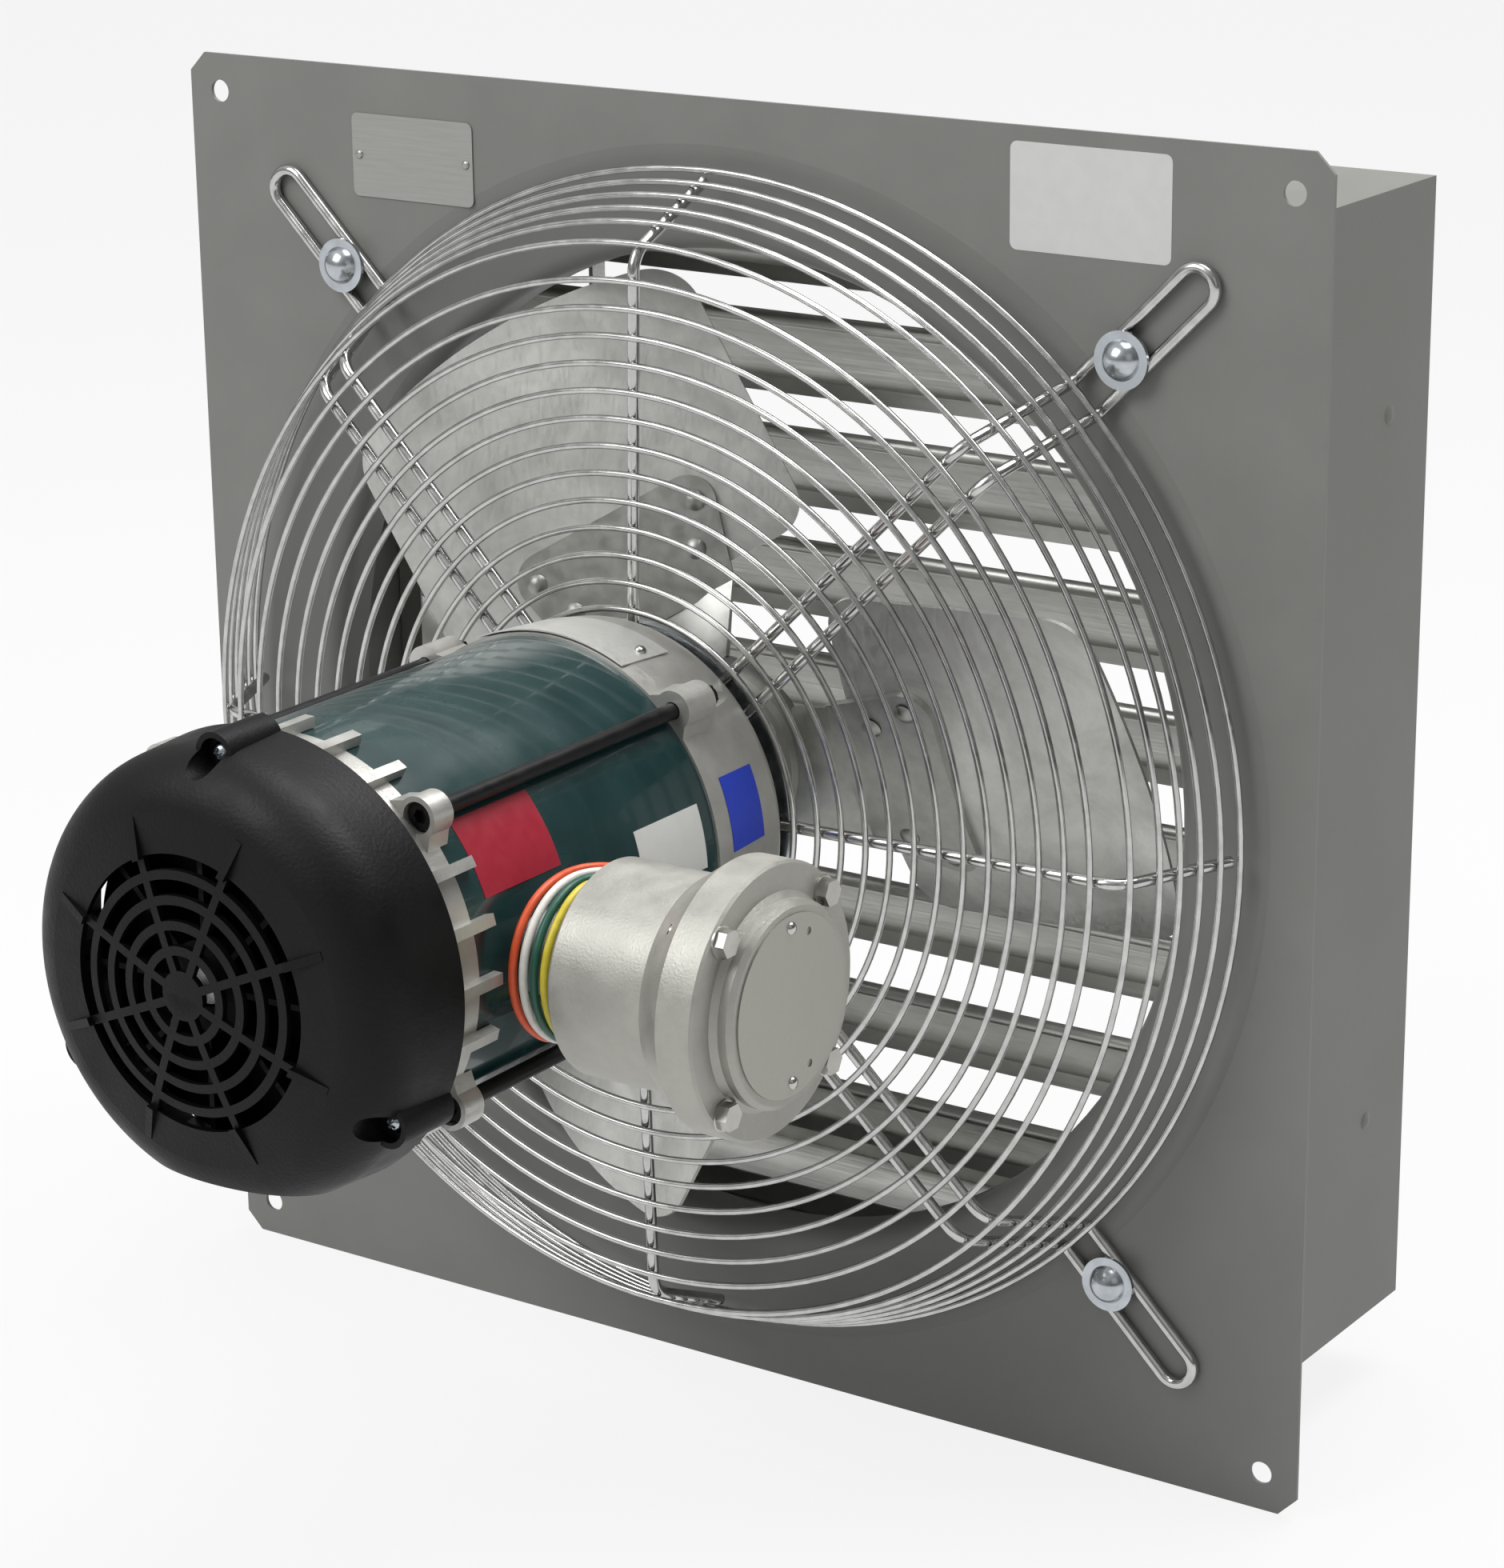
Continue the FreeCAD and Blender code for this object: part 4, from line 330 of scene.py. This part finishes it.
def mill_aluminium(name, base, roughness, grain, smudged):
    """Mill-finish aluminium sheet: dull metal, rolling streaks along one way and handling smudges."""
    material, tree, shader, place = surface(name, base, Metallic=0.9)
    blurs = {"Scale": grains(38), "Detail": 6.0, "Roughness": 0.62, "Distortion": 0.6}
    smudge = add(tree, "ShaderNodeTexNoise", blurs, {"Vector": place})
    vary(tree, shader, smudge, tones=(smudged, 1.1))
    # Rolling lines are far finer than a millimetre; they are drawn coarser so that they show
    along = add(tree, "ShaderNodeMapping", {"Scale": grain}, {"Vector": place}).outputs["Vector"]
    streak = add(tree, "ShaderNodeTexNoise", {"Scale": grains(1.4), "Detail": 3.0}, {"Vector": along})
    vary(tree, shader, streak, rough=(roughness - 0.08, roughness + 0.1), relief=(0.12, 0.08))
    return material


def sand_casting(name, base, metallic, roughness):
    """Cast aluminium with a silver coat: grainy half-metal sheen with darker blotches."""
    material, tree, shader, place = surface(name, base, Metallic=metallic)
    spots = {"Scale": grains(14), "Detail": 5.0, "Roughness": 0.6}
    blotch = add(tree, "ShaderNodeTexNoise", spots, {"Vector": place})
    vary(tree, shader, blotch, tones=(0.84, 1.05), rough=(roughness - 0.09, roughness + 0.09))
    # The sand grain is about 0.3 mm; it is drawn coarser so that it shows
    sand = add(tree, "ShaderNodeTexNoise", {"Scale": grains(1.0), "Detail": 3.0}, {"Vector": place})
    vary(tree, shader, sand, relief=(0.4, 0.3))
    return material


def gloss_enamel(name, base):
    """Gloss enamel on rolled steel: dark, mirror-like, with long soft ripples and a little dust."""
    material, tree, shader, place = surface(name, base, **{"Coat Weight": 0.5, "Coat Roughness": 0.05})
    dust = add(tree, "ShaderNodeTexNoise", {"Scale": grains(22), "Detail": 6.0}, {"Vector": place})
    vary(tree, shader, dust, tones=(1.0, 1.35), rough=(0.16, 0.3))
    ripple = add(tree, "ShaderNodeTexNoise", {"Scale": grains(26), "Detail": 1.0}, {"Vector": place})
    vary(tree, shader, ripple, relief=(0.1, 1.0))
    return material


def moulded_black(name, base):
    """Black moulded plastic: dull, with a fine leathery grain."""
    material, tree, shader, place = surface(name, base, **{"Specular IOR Level": 0.22})
    cloud = add(tree, "ShaderNodeTexNoise", {"Scale": grains(18), "Detail": 4.0}, {"Vector": place})
    vary(tree, shader, cloud, tones=(0.85, 1.25), rough=(0.42, 0.56))
    # The moulded grain is about half a millimetre; it is drawn coarser so that it shows
    grain = add(tree, "ShaderNodeTexNoise", {"Scale": grains(1.5), "Detail": 2.0}, {"Vector": place})
    vary(tree, shader, grain, relief=(0.5, 0.3))
    return material


def plated(name, base, roughness):
    """Bright metal, most of it plated steel: its sheen clouds over in places."""
    material, tree, shader, place = surface(name, base, Metallic=1.0)
    cloud = add(tree, "ShaderNodeTexNoise", {"Scale": grains(7), "Detail": 3.0}, {"Vector": place})
    vary(tree, shader, cloud, tones=(0.8, 1.06), rough=(roughness, roughness + 0.14))
    return material


def black_oxide(name, base):
    """Black oxide on steel: nearly black, with an oily half-shine."""
    material, tree, shader, place = surface(name, base, Metallic=0.5)
    oil = add(tree, "ShaderNodeTexNoise", {"Scale": grains(5), "Detail": 4.0}, {"Vector": place})
    vary(tree, shader, oil, tones=(1.0, 1.7), rough=(0.3, 0.5))
    return material


def vinyl_film(name, base):
    """Vinyl sticker: smooth film that takes up the unevenness of the paint below."""
    material, tree, shader, place = surface(name, base)
    wave = add(tree, "ShaderNodeTexNoise", {"Scale": grains(6), "Detail": 2.0}, {"Vector": place})
    vary(tree, shader, wave, tones=(0.97, 1.01), rough=(0.3, 0.44), relief=(0.05, 0.1))
    return material


def brushed_plate(name, base):
    """Brushed aluminium plate: fine lines across, and a soft sheen along them."""
    material, tree, shader, place = surface(name, base, Metallic=0.85)
    # Brush lines are about 0.1 mm; they are drawn coarser so that they show
    across = add(tree, "ShaderNodeMapping", {"Scale": BRUSHED}, {"Vector": place}).outputs["Vector"]
    brush = add(tree, "ShaderNodeTexNoise", {"Scale": grains(0.8), "Detail": 3.0}, {"Vector": across})
    vary(tree, shader, brush, tones=(0.88, 1.0), rough=(0.3, 0.46))
    return material


def soft_insulation(name, base):
    """Extruded or moulded soft plastic: waxy, with small uneven patches."""
    material, tree, shader, place = surface(name, base)
    patch = add(tree, "ShaderNodeTexNoise", {"Scale": grains(4), "Detail": 3.0}, {"Vector": place})
    vary(tree, shader, patch, tones=(0.82, 1.0), rough=(0.34, 0.5))
    return material


def stacked_sheet(name, base, metallic, pitch):
    """Stacked steel sheets or laid wire: bands along the motor axis."""
    material, tree, shader, place = surface(name, base, Metallic=metallic)
    # A sheet or a wire is about half a millimetre; the bands are drawn coarser so that they show
    bands = {"bands_direction": "Y", "Scale": grains(pitch) / WAVE_BANDS, "Distortion": 0.4}
    band = add(tree, "ShaderNodeTexWave", bands, {"Vector": place})
    vary(tree, shader, band, tones=(0.55, 1.0), rough=(0.35, 0.55))
    return material


# Shapes


def edges_of(verts):
    """Edges that meet at some vertices, each once and in order."""
    return list(dict.fromkeys(edge for vert in verts for edge in vert.link_edges))


def rounded_plate(builder, low, high, thickness, corner, back):
    """Flat plate with rounded corners in the XZ plane, its back at a Y."""
    middle = ((low[0] + high[0]) / 2, back - thickness / 2, (low[1] + high[1]) / 2)
    sides = (high[0] - low[0], thickness, high[1] - low[1])
    place = Matrix.Translation(middle) @ Matrix.Diagonal((*sides, 1))
    cube = bmesh.ops.create_cube(builder, size=1, matrix=place)
    through = []
    for edge in edges_of(cube["verts"]):
        start, end = edge.verts
        if abs(start.co.y - end.co.y) > thickness / 2:
            through.append(edge)
    bmesh.ops.bevel(
        builder, geom=through, offset=corner, offset_type="OFFSET", affect="EDGES",
        segments=5, profile=0.5, material=-1,
    )


def wrapped_plate(builder, radii, thickness, ends, angles):
    """Plate bent round the motor axis between two angles, on a cone or a cylinder."""
    start, end = (math.radians(angle) for angle in angles)
    turn = Matrix.Rotation(-start, 4, "Y")
    inner = list(zip(radii, ends))
    outer = [(radius + thickness, y) for radius, y in reversed(inner)]
    verts = [builder.verts.new(turn @ Vector((radius, y, 0))) for radius, y in inner + outer]
    bmesh.ops.spin(
        builder, geom=[builder.faces.new(verts)], cent=(0, 0, 0), axis=(0, -1, 0), angle=end - start,
        steps=16, use_merge=False, use_duplicate=False,
    )


def dome(builder, centre, direction, radius, rise):
    """Low closed head of a rivet or drive screw on a surface, with its height as a share of its radius."""
    turn = Vector((0, 0, 1)).rotation_difference(direction).to_matrix().to_4x4()
    place = Matrix.Translation(centre) @ turn @ Matrix.Diagonal((radius, radius, rise * radius, 1))
    ball = bmesh.ops.create_uvsphere(builder, u_segments=16, v_segments=8, radius=1, matrix=place)
    below = [vert for vert in ball["verts"] if (vert.co - centre).dot(direction) < -TOUCHING]
    bmesh.ops.delete(builder, geom=below, context="VERTS")
    rim = [edge for edge in builder.edges if edge.is_boundary]
    bmesh.ops.holes_fill(builder, edges=rim, sides=0)


def gathered(values):
    """Middles of runs of values that are no further apart than the gap between rings."""
    values = sorted(values)
    runs = [[values[0], values[0]]]
    for value in values[1:]:
        if value - runs[-1][1] > RING_GAP:
            runs.append([value, value])
        runs[-1][1] = value
    return [(low + high) / 2 for low, high in runs]


def ring_places():
    """Radius and Y of each guard ring, from the CAD rings."""
    places = []
    front = [v.co for v in NODES["guard_front_rings"].data.vertices]
    for radius in gathered(math.hypot(c.x, c.z) for c in front):
        ys = [c.y for c in front if abs(math.hypot(c.x, c.z) - radius) < RING_GAP]
        places.append((radius, (min(ys) + max(ys)) / 2))
    side = [v.co for v in NODES["guard_side_rings"].data.vertices]
    for y in gathered(c.y for c in side):
        radii = [math.hypot(c.x, c.z) for c in side if abs(c.y - y) < RING_GAP]
        places.append(((min(radii) + max(radii)) / 2, y))
    return places


# Operators


class EXHAUSTFAN_OT_sheet_metal(bpy.types.Operator):
    """Paints the panel and sleeve and gives the shutter its aluminium"""
    bl_idname = "exhaust_fan.sheet_metal"
    bl_label = "Sheet Metal"

    def execute(self, context):
        hues = colours()
        paint(["front_panel"], baked_enamel("Panel baked enamel", hues.panel))
        paint(["wall_sleeve", "shutter_rivets"], baked_enamel("Sleeve baked enamel", hues.sleeve))
        louvers = [node for node in NODES if node.startswith("louver_") and node[-1].isdigit()]
        shutter = mill_aluminium("Louver mill aluminium", hues.louvers, 0.42, ALONG_X, 0.86)
        paint(louvers + ["shutter_frame", "tie_bar"], shutter)
        paint(["louver_bushings"], soft_insulation("Natural nylon", srgb("#d9d8cf")))
        paint(["guard_nuts"], plated("Zinc plated nut", srgb("#b8bcc0"), 0.26))
        return {"FINISHED"}


class EXHAUSTFAN_OT_propeller(bpy.types.Operator):
    """Gives the propeller its sheet, rivets and hub"""
    bl_idname = "exhaust_fan.propeller"
    bl_label = "Propeller"

    def execute(self, context):
        hues = colours()
        sheet = mill_aluminium("Blade mill aluminium", hues.blades, 0.45, ALONG_Z, 0.68)
        paint(["blade_1", "blade_2", "blade_3"], sheet)
        paint(["spider"], plated("Zinc plated spider", hues.spider, 0.34))
        paint(["blade_rivets", "hub_rivets"], plated("Aluminium rivet", srgb("#b4b4b0"), 0.34))
        paint(["fan_hub"], sand_casting("Hub casting", hues.casting, 0.7, 0.42))
        paint(["hub_set_screw"], black_oxide("Black oxide screw", srgb("#1c1c1d")))
        paint(["motor_shaft"], plated("Ground shaft steel", srgb("#b0b0ae"), 0.2))
        return {"FINISHED"}


class EXHAUSTFAN_OT_motor(bpy.types.Operator):
    """Paints the motor, its bells, bolts and cover"""
    bl_idname = "exhaust_fan.motor"
    bl_label = "Motor"

    def execute(self, context):
        hues = colours()
        paint(["motor_barrel"], gloss_enamel("Barrel gloss enamel", hues.barrel))
        paint(["front_end_bell", "rear_end_bell"], sand_casting("Bell casting", hues.casting, 0.7, 0.36))
        paint(["through_bolts", "through_bolt_nuts"], black_oxide("Black oxide bolt", srgb("#141415")))
        paint(["fan_cover", "cooling_fan"], moulded_black("Cover moulded plastic", hues.cover))
        zinc = plated("Bright zinc screw", srgb("#bfc5ca"), 0.16)
        paint(["fan_cover_screws", "motor_mount_bolts", "motor_mount_plate", "guard_screws"], zinc)
        paint(["front_bearing", "rear_bearing"], plated("Bearing steel", srgb("#9a9a98"), 0.2))
        core = stacked_sheet("Stacked lamination steel", srgb("#4a4a4c"), 0.9, 12.57)
        paint(["stator_core", "rotor_core"], core)
        paint(["stator_windings"], stacked_sheet("Varnished copper wire", srgb("#8a4a22"), 0.7, 9.42))
        return {"FINISHED"}


class EXHAUSTFAN_OT_conduit_box(bpy.types.Operator):
    """Paints the conduit box and adds the round plate with its drive screws on the cover"""
    bl_idname = "exhaust_fan.conduit_box"
    bl_label = "Conduit Box"

    def execute(self, context):
        size = sizes()
        casting = sand_casting("Box silver casting", colours().conduit, 0.6, 0.48)
        paint(["conduit_box", "conduit_cover"], casting)
        paint(["conduit_cover_bolts"], plated("Zinc plated box bolt", srgb("#bdbcb6"), 0.26))
        paint(["conduit_nipple"], plated("Zinc plated nipple", srgb("#a4a5a3"), 0.34))
        paint(["lead_grommet"], soft_insulation("Grommet rubber", srgb("#1a1a1a")))
        low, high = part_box("conduit_cover")
        face = Vector((high.x, (low.y + high.y) / 2, (low.z + high.z) / 2))
        rows = [side * (size.disc - 2 * size.drive_screw) for side in (-1, 1)]
        brushed = brushed_plate("Brushed disc plate", srgb("#a9a9a1"))
        finish_piece("conduit_disc_plate", self.disc(face, rows), brushed, "housing")
        heads = bmesh.new()
        for row in rows:
            centre = face + Vector((size.plate, 0, row))
            dome(heads, centre, Vector((1, 0, 0)), size.drive_screw, DRIVE_SCREW_RISE)
        bright = plated("Bright drive screw", srgb("#c9c9c4"), 0.14)
        finish_piece("conduit_disc_screws", heads, bright, "housing")
        return {"FINISHED"}

    def disc(self, face, rows):
        """Round sheet on the cover's face, with a spare hole near each drive screw."""
        size = sizes()
        along = SPARE_HOLE_ALONG * size.drive_screw
        circles = [(size.disc, Vector((0, 0, 0)), DISC_SEGMENTS)]
        for row in rows:
            circles.append((size.spare_hole, Vector((0, along, SPARE_HOLE_UP * row)), HOLE_SEGMENTS))
        sideways = Matrix.Rotation(math.pi / 2, 4, "Y")
        disc = bmesh.new()
        for radius, offset, segments in circles:
            place = Matrix.Translation(face + offset) @ sideways
            bmesh.ops.create_circle(disc, segments=segments, radius=radius, matrix=place)
        bmesh.ops.triangle_fill(disc, edges=disc.edges, use_beauty=True)
        sheet = bmesh.ops.extrude_face_region(disc, geom=disc.faces)
        top = [item for item in sheet["geom"] if isinstance(item, bmesh.types.BMVert)]
        bmesh.ops.translate(disc, verts=top, vec=(size.plate, 0, 0))
        return disc


class EXHAUSTFAN_OT_leads(bpy.types.Operator):
    """Lays the four motor leads between the barrel and the conduit box"""
    bl_idname = "exhaust_fan.leads"
    bl_label = "Motor Leads"

    def execute(self, context):
        for index, (node, code) in enumerate(LEAD_COLOURS):
            curve = bpy.data.curves.new(node + "_insulation", "CURVE")
            curve.dimensions = "3D"
            curve.bevel_depth = sizes().lead / 2
            curve.bevel_resolution = 4
            curve.resolution_u = 12
            curve.use_fill_caps = True
            spline = curve.splines.new("NURBS")
            route = self.route(index)
            spline.points.add(len(route) - 1)
            for point, place in zip(spline.points, route):
                point.co = (*place, 1)
            spline.order_u = 3
            spline.use_endpoint_u = True
            bow = bpy.data.objects.new(node + "_bow", curve)
            mesh = bpy.data.meshes.new_from_object(bow)
            bpy.data.objects.remove(bow)
            builder = bmesh.new()
            builder.from_mesh(mesh)
            bpy.data.meshes.remove(mesh)
            insulation = soft_insulation("Lead insulation " + node.removeprefix("lead_"), srgb(code))
            piece = finish_piece(node + "_insulation", builder, insulation, "housing")
            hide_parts(node)
        return {"FINISHED"}

    def route(self, index):
        """Control points of a lead, in metres: out of the grommet, round the nipple and into the box."""
        low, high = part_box(LEAD_COLOURS[index][0])
        nipple_low, nipple_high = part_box("conduit_nipple")
        middle = (nipple_low.y + nipple_high.y) / 2
        bow = (high.z - low.z - sizes().lead) / 2
        x = LEAD_FIRST_X + index * LEAD_STEP_X
        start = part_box("lead_grommet")[1].x
        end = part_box("conduit_box")[0].x
        out_y = middle + LEAD_SPREAD * (index + 1)
        in_y = middle + LEAD_SPREAD * (len(LEAD_COLOURS) - index)
        near = middle - OCTAGON * bow
        far = middle - bow
        return [
            (start, out_y, -bow), (x, out_y, -bow), (x, near, -bow), (x, far, -OCTAGON * bow),
            (x, far, OCTAGON * bow), (x, near, bow), (x, in_y, bow), (end, in_y, bow),
        ]


class EXHAUSTFAN_OT_guard(bpy.types.Operator):
    """Makes the guard's round ring wires and plates the whole guard"""
    bl_idname = "exhaust_fan.guard"
    bl_label = "Wire Guard"

    def execute(self, context):
        size = sizes()
        plating = plated("Bright plated wire", colours().wire, 0.1)
        paint(["guard_spokes", "guard_legs"], plating)
        rings = bmesh.new()
        for radius, y in ring_places():
            place = Matrix.Translation((radius, y, 0))
            circle = bmesh.ops.create_circle(
                rings, segments=size.ring_sides, radius=size.ring_wire / 2, matrix=place,
            )
            bmesh.ops.spin(
                rings, geom=circle["verts"] + edges_of(circle["verts"]), cent=(0, 0, 0), axis=(0, 1, 0),
                angle=math.tau, steps=size.ring_steps, use_merge=True, use_duplicate=False,
            )
        bmesh.ops.remove_doubles(rings, verts=rings.verts, dist=TOUCHING)
        piece = finish_piece("guard_ring_wires", rings, plating, "housing", sharp=60)
        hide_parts("guard_front_rings", "guard_side_rings")
        return {"FINISHED"}


class EXHAUSTFAN_OT_panel_plates(bpy.types.Operator):
    """Fixes the bare metal plate and the bare sticker on the panel"""
    bl_idname = "exhaust_fan.panel_plates"
    bl_label = "Panel Plates"

    def execute(self, context):
        size = sizes()
        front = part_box("front_panel")[0].y
        low, high = NAMEPLATE
        plate = bmesh.new()
        rounded_plate(plate, low, high, size.plate, size.plate_round, front)
        for x in (low[0] + RIVET_INSET, high[0] - RIVET_INSET):
            centre = Vector((x, front - size.plate, (low[1] + high[1]) / 2))
            dome(plate, centre, Vector((0, -1, 0)), size.plate_rivet, RIVET_RISE)
        brushed = brushed_plate("Brushed nameplate", srgb("#a9a9a6"))
        finish_piece("panel_nameplate", plate, brushed, "housing")
        label = bmesh.new()
        rounded_plate(label, *PANEL_STICKER, size.sticker, size.plate_round, front)
        film = vinyl_film("White vinyl sticker", srgb("#cfcfcd"))
        finish_piece("panel_sticker", label, film, "housing")
        return {"FINISHED"}


class EXHAUSTFAN_OT_motor_plates(bpy.types.Operator):
    """Wraps the bare stickers and the bright plate round the motor"""
    bl_idname = "exhaust_fan.motor_plates"
    bl_label = "Motor Plates"

    def execute(self, context):
        size = sizes()
        hues = colours()
        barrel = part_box("motor_barrel")[1].x + STICKER_ROOM
        rim = barrel + BELL_RIM
        neck = barrel + BELL_NECK
        on_barrel = (barrel, barrel)
        on_bell = (rim, neck)
        over_bell = (rim + PLATE_ROOM_RIM, neck + PLATE_ROOM_NECK)
        red = vinyl_film("Red vinyl sticker", hues.red_sticker)
        white = vinyl_film("White film sticker", srgb("#cfcfcc"))
        blue = vinyl_film("Blue vinyl sticker", hues.blue_sticker)
        bright = brushed_plate("Etched aluminium plate", srgb("#f0f0ec"))
        for name, finish, slot, radii, thickness, (ends, angles) in (
            ("barrel_red_sticker", red, "motor_paint", on_barrel, size.sticker, RED_STICKER),
            ("barrel_white_sticker", white, "nylon", on_barrel, size.sticker, WHITE_STICKER),
            ("bell_blue_sticker", blue, "motor_paint", on_bell, size.sticker, BLUE_STICKER),
            ("bell_bright_plate", bright, "zinc_steel", over_bell, size.plate, BRIGHT_PLATE),
        ):
            plate = bmesh.new()
            wrapped_plate(plate, radii, thickness, ends, angles)
            finish_piece(name, plate, finish, "housing")
        outward = Matrix.Rotation(-math.radians(PLATE_SCREW_ANGLE), 3, "Y") @ Vector((1, 0, 0))
        centre = outward * rim + Vector((0, PLATE_SCREW_Y, 0))
        screw = bmesh.new()
        dome(screw, centre, outward, size.drive_screw, DRIVE_SCREW_RISE)
        steel = plated("Plate drive screw", srgb("#b9b9b4"), 0.16)
        finish_piece("bell_plate_screw", screw, steel, "housing")
        return {"FINISHED"}


class EXHAUSTFAN_OT_stage(bpy.types.Operator):
    """Sets the pale floor, the studio light and the camera"""
    bl_idname = "exhaust_fan.stage"
    bl_label = "Stage"

    def execute(self, context):
        scene = context.scene
        scene.view_settings.view_transform = "Standard"
        place = Matrix.Translation((0, 0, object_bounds()[0].z - FLOOR_GAP))
        floor = bmesh.new()
        bmesh.ops.create_grid(floor, x_segments=1, y_segments=1, size=FLOOR_HALF, matrix=place)
        mesh = bpy.data.meshes.new("floor")
        floor.to_mesh(mesh)
        floor.free()
        mesh.materials.append(self.floor_paper())
        ground = bpy.data.objects.new("floor", mesh)
        scene.collection.objects.link(ground)
        lamps = [self.lamp(*softbox) for softbox in SOFTBOXES]
        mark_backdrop(ground, *lamps)
        self.studio_world(scene)
        camera = bpy.data.objects.new("camera", bpy.data.cameras.new("camera"))
        camera.location = CAMERA_PLACE
        camera.rotation_euler = [math.radians(angle) for angle in CAMERA_TURN]
        camera.data.lens = CAMERA_LENS
        camera.data.shift_x = CAMERA_SHIFT_X
        camera.data.shift_y = CAMERA_SHIFT_Y
        scene.collection.objects.link(camera)
        scene.camera = camera
        return {"FINISHED"}

    def lamp(self, name, place, side, power):
        """Square softbox that faces the motor."""
        light = bpy.data.lights.new(name, "AREA")
        light.size = side
        light.energy = power
        lamp = bpy.data.objects.new(name, light)
        lamp.location = place
        aim = Vector(LAMP_AIM) - Vector(place)
        lamp.rotation_euler = aim.to_track_quat("-Z", "Y").to_euler()
        bpy.context.scene.collection.objects.link(lamp)
        return lamp

    def floor_paper(self):
        """White paper: it shows near white, and still takes the object's shadow."""
        material = bpy.data.materials.new("White paper floor")
        material.use_nodes = True
        tree = material.node_tree
        tree.nodes.clear()
        paper = add(tree, "ShaderNodeBsdfDiffuse", {"Color": rgba([FLOOR_GREY] * 3)})
        glow = add(tree, "ShaderNodeEmission", {"Color": (1, 1, 1, 1), "Strength": 1.0})
        path = add(tree, "ShaderNodeLightPath")
        seen = path.outputs["Is Camera Ray"]
        for ray in ("Is Glossy Ray", "Is Transmission Ray"):
            either = {0: seen, 1: path.outputs[ray]}
            seen = add(tree, "ShaderNodeMath", {"operation": "MAXIMUM"}, either).outputs[0]
        share = add(tree, "ShaderNodeMath", {"operation": "MULTIPLY", 1: FLOOR_GLOW}, {0: seen})
        shaders = {0: share.outputs[0], 1: paper.outputs[0], 2: glow.outputs[0]}
        mix = add(tree, "ShaderNodeMixShader", links=shaders)
        add(tree, "ShaderNodeOutputMaterial", links={"Surface": mix.outputs[0]})
        return material

    def studio_world(self, scene):
        """Soft room light: bright overhead, darker round the horizon and towards the right."""
        world = bpy.data.worlds.new("studio")
        world.use_nodes = True
        tree = world.node_tree
        tree.nodes.clear()
        place = add(tree, "ShaderNodeTexCoord")
        split = add(tree, "ShaderNodeSeparateXYZ", links={"Vector": place.outputs["Generated"]})
        upwards = {"From Min": -0.1, "From Max": 0.7, "To Min": 0.16, "To Max": 0.7}
        level = add(tree, "ShaderNodeMapRange", upwards, {"Value": split.outputs["Z"]})
        rightwards = {"From Min": -0.2, "From Max": 0.8, "To Min": 1.0, "To Max": 0.35}
        side = add(tree, "ShaderNodeMapRange", rightwards, {"Value": split.outputs["X"]})
        shares = {0: level.outputs["Result"], 1: side.outputs["Result"]}
        room = add(tree, "ShaderNodeMath", {"operation": "MULTIPLY"}, shares)
        sky = add(tree, "ShaderNodeBackground", {"Color": (1, 1, 1, 1)}, {"Strength": room.outputs[0]})
        add(tree, "ShaderNodeOutputWorld", links={"Surface": sky.outputs[0]})
        scene.world = world


class EXHAUSTFAN_PT_panel(bpy.types.Panel):
    """Lists the fan's colours, sizes and steps"""
    bl_idname = "EXHAUSTFAN_PT_panel"
    bl_label = "Exhaust Fan"
    bl_space_type = "VIEW_3D"
    bl_region_type = "UI"
    bl_category = "Exhaust Fan"

    def draw(self, context):
        settings = context.scene.exhaust_fan
        for group in (settings.colours, settings.sizes):
            for key in group.__annotations__:
                self.layout.prop(group, key)
        for step in STEPS:
            self.layout.operator(step.bl_idname)


STEPS = (
    EXHAUSTFAN_OT_sheet_metal,
    EXHAUSTFAN_OT_propeller,
    EXHAUSTFAN_OT_motor,
    EXHAUSTFAN_OT_conduit_box,
    EXHAUSTFAN_OT_leads,
    EXHAUSTFAN_OT_guard,
    EXHAUSTFAN_OT_panel_plates,
    EXHAUSTFAN_OT_motor_plates,
    EXHAUSTFAN_OT_stage,
)
CLASSES = (FanColours, FanSizes, FanSettings) + STEPS + (EXHAUSTFAN_PT_panel,)


def register():
    """Adds the classes, and the fan's settings to the scene."""
    for cls in CLASSES:
        bpy.utils.register_class(cls)
    bpy.types.Scene.exhaust_fan = PointerProperty(type=FanSettings)


def unregister():
    """Takes the settings and the classes away again."""
    del bpy.types.Scene.exhaust_fan
    for cls in reversed(CLASSES):
        bpy.utils.unregister_class(cls)


def main():
    register()
    bpy.ops.exhaust_fan.sheet_metal()
    bpy.ops.exhaust_fan.propeller()
    bpy.ops.exhaust_fan.motor()
    bpy.ops.exhaust_fan.conduit_box()
    bpy.ops.exhaust_fan.leads()
    bpy.ops.exhaust_fan.guard()
    bpy.ops.exhaust_fan.panel_plates()
    bpy.ops.exhaust_fan.motor_plates()
    bpy.ops.exhaust_fan.stage()


if __name__ == "__main__":
    main()
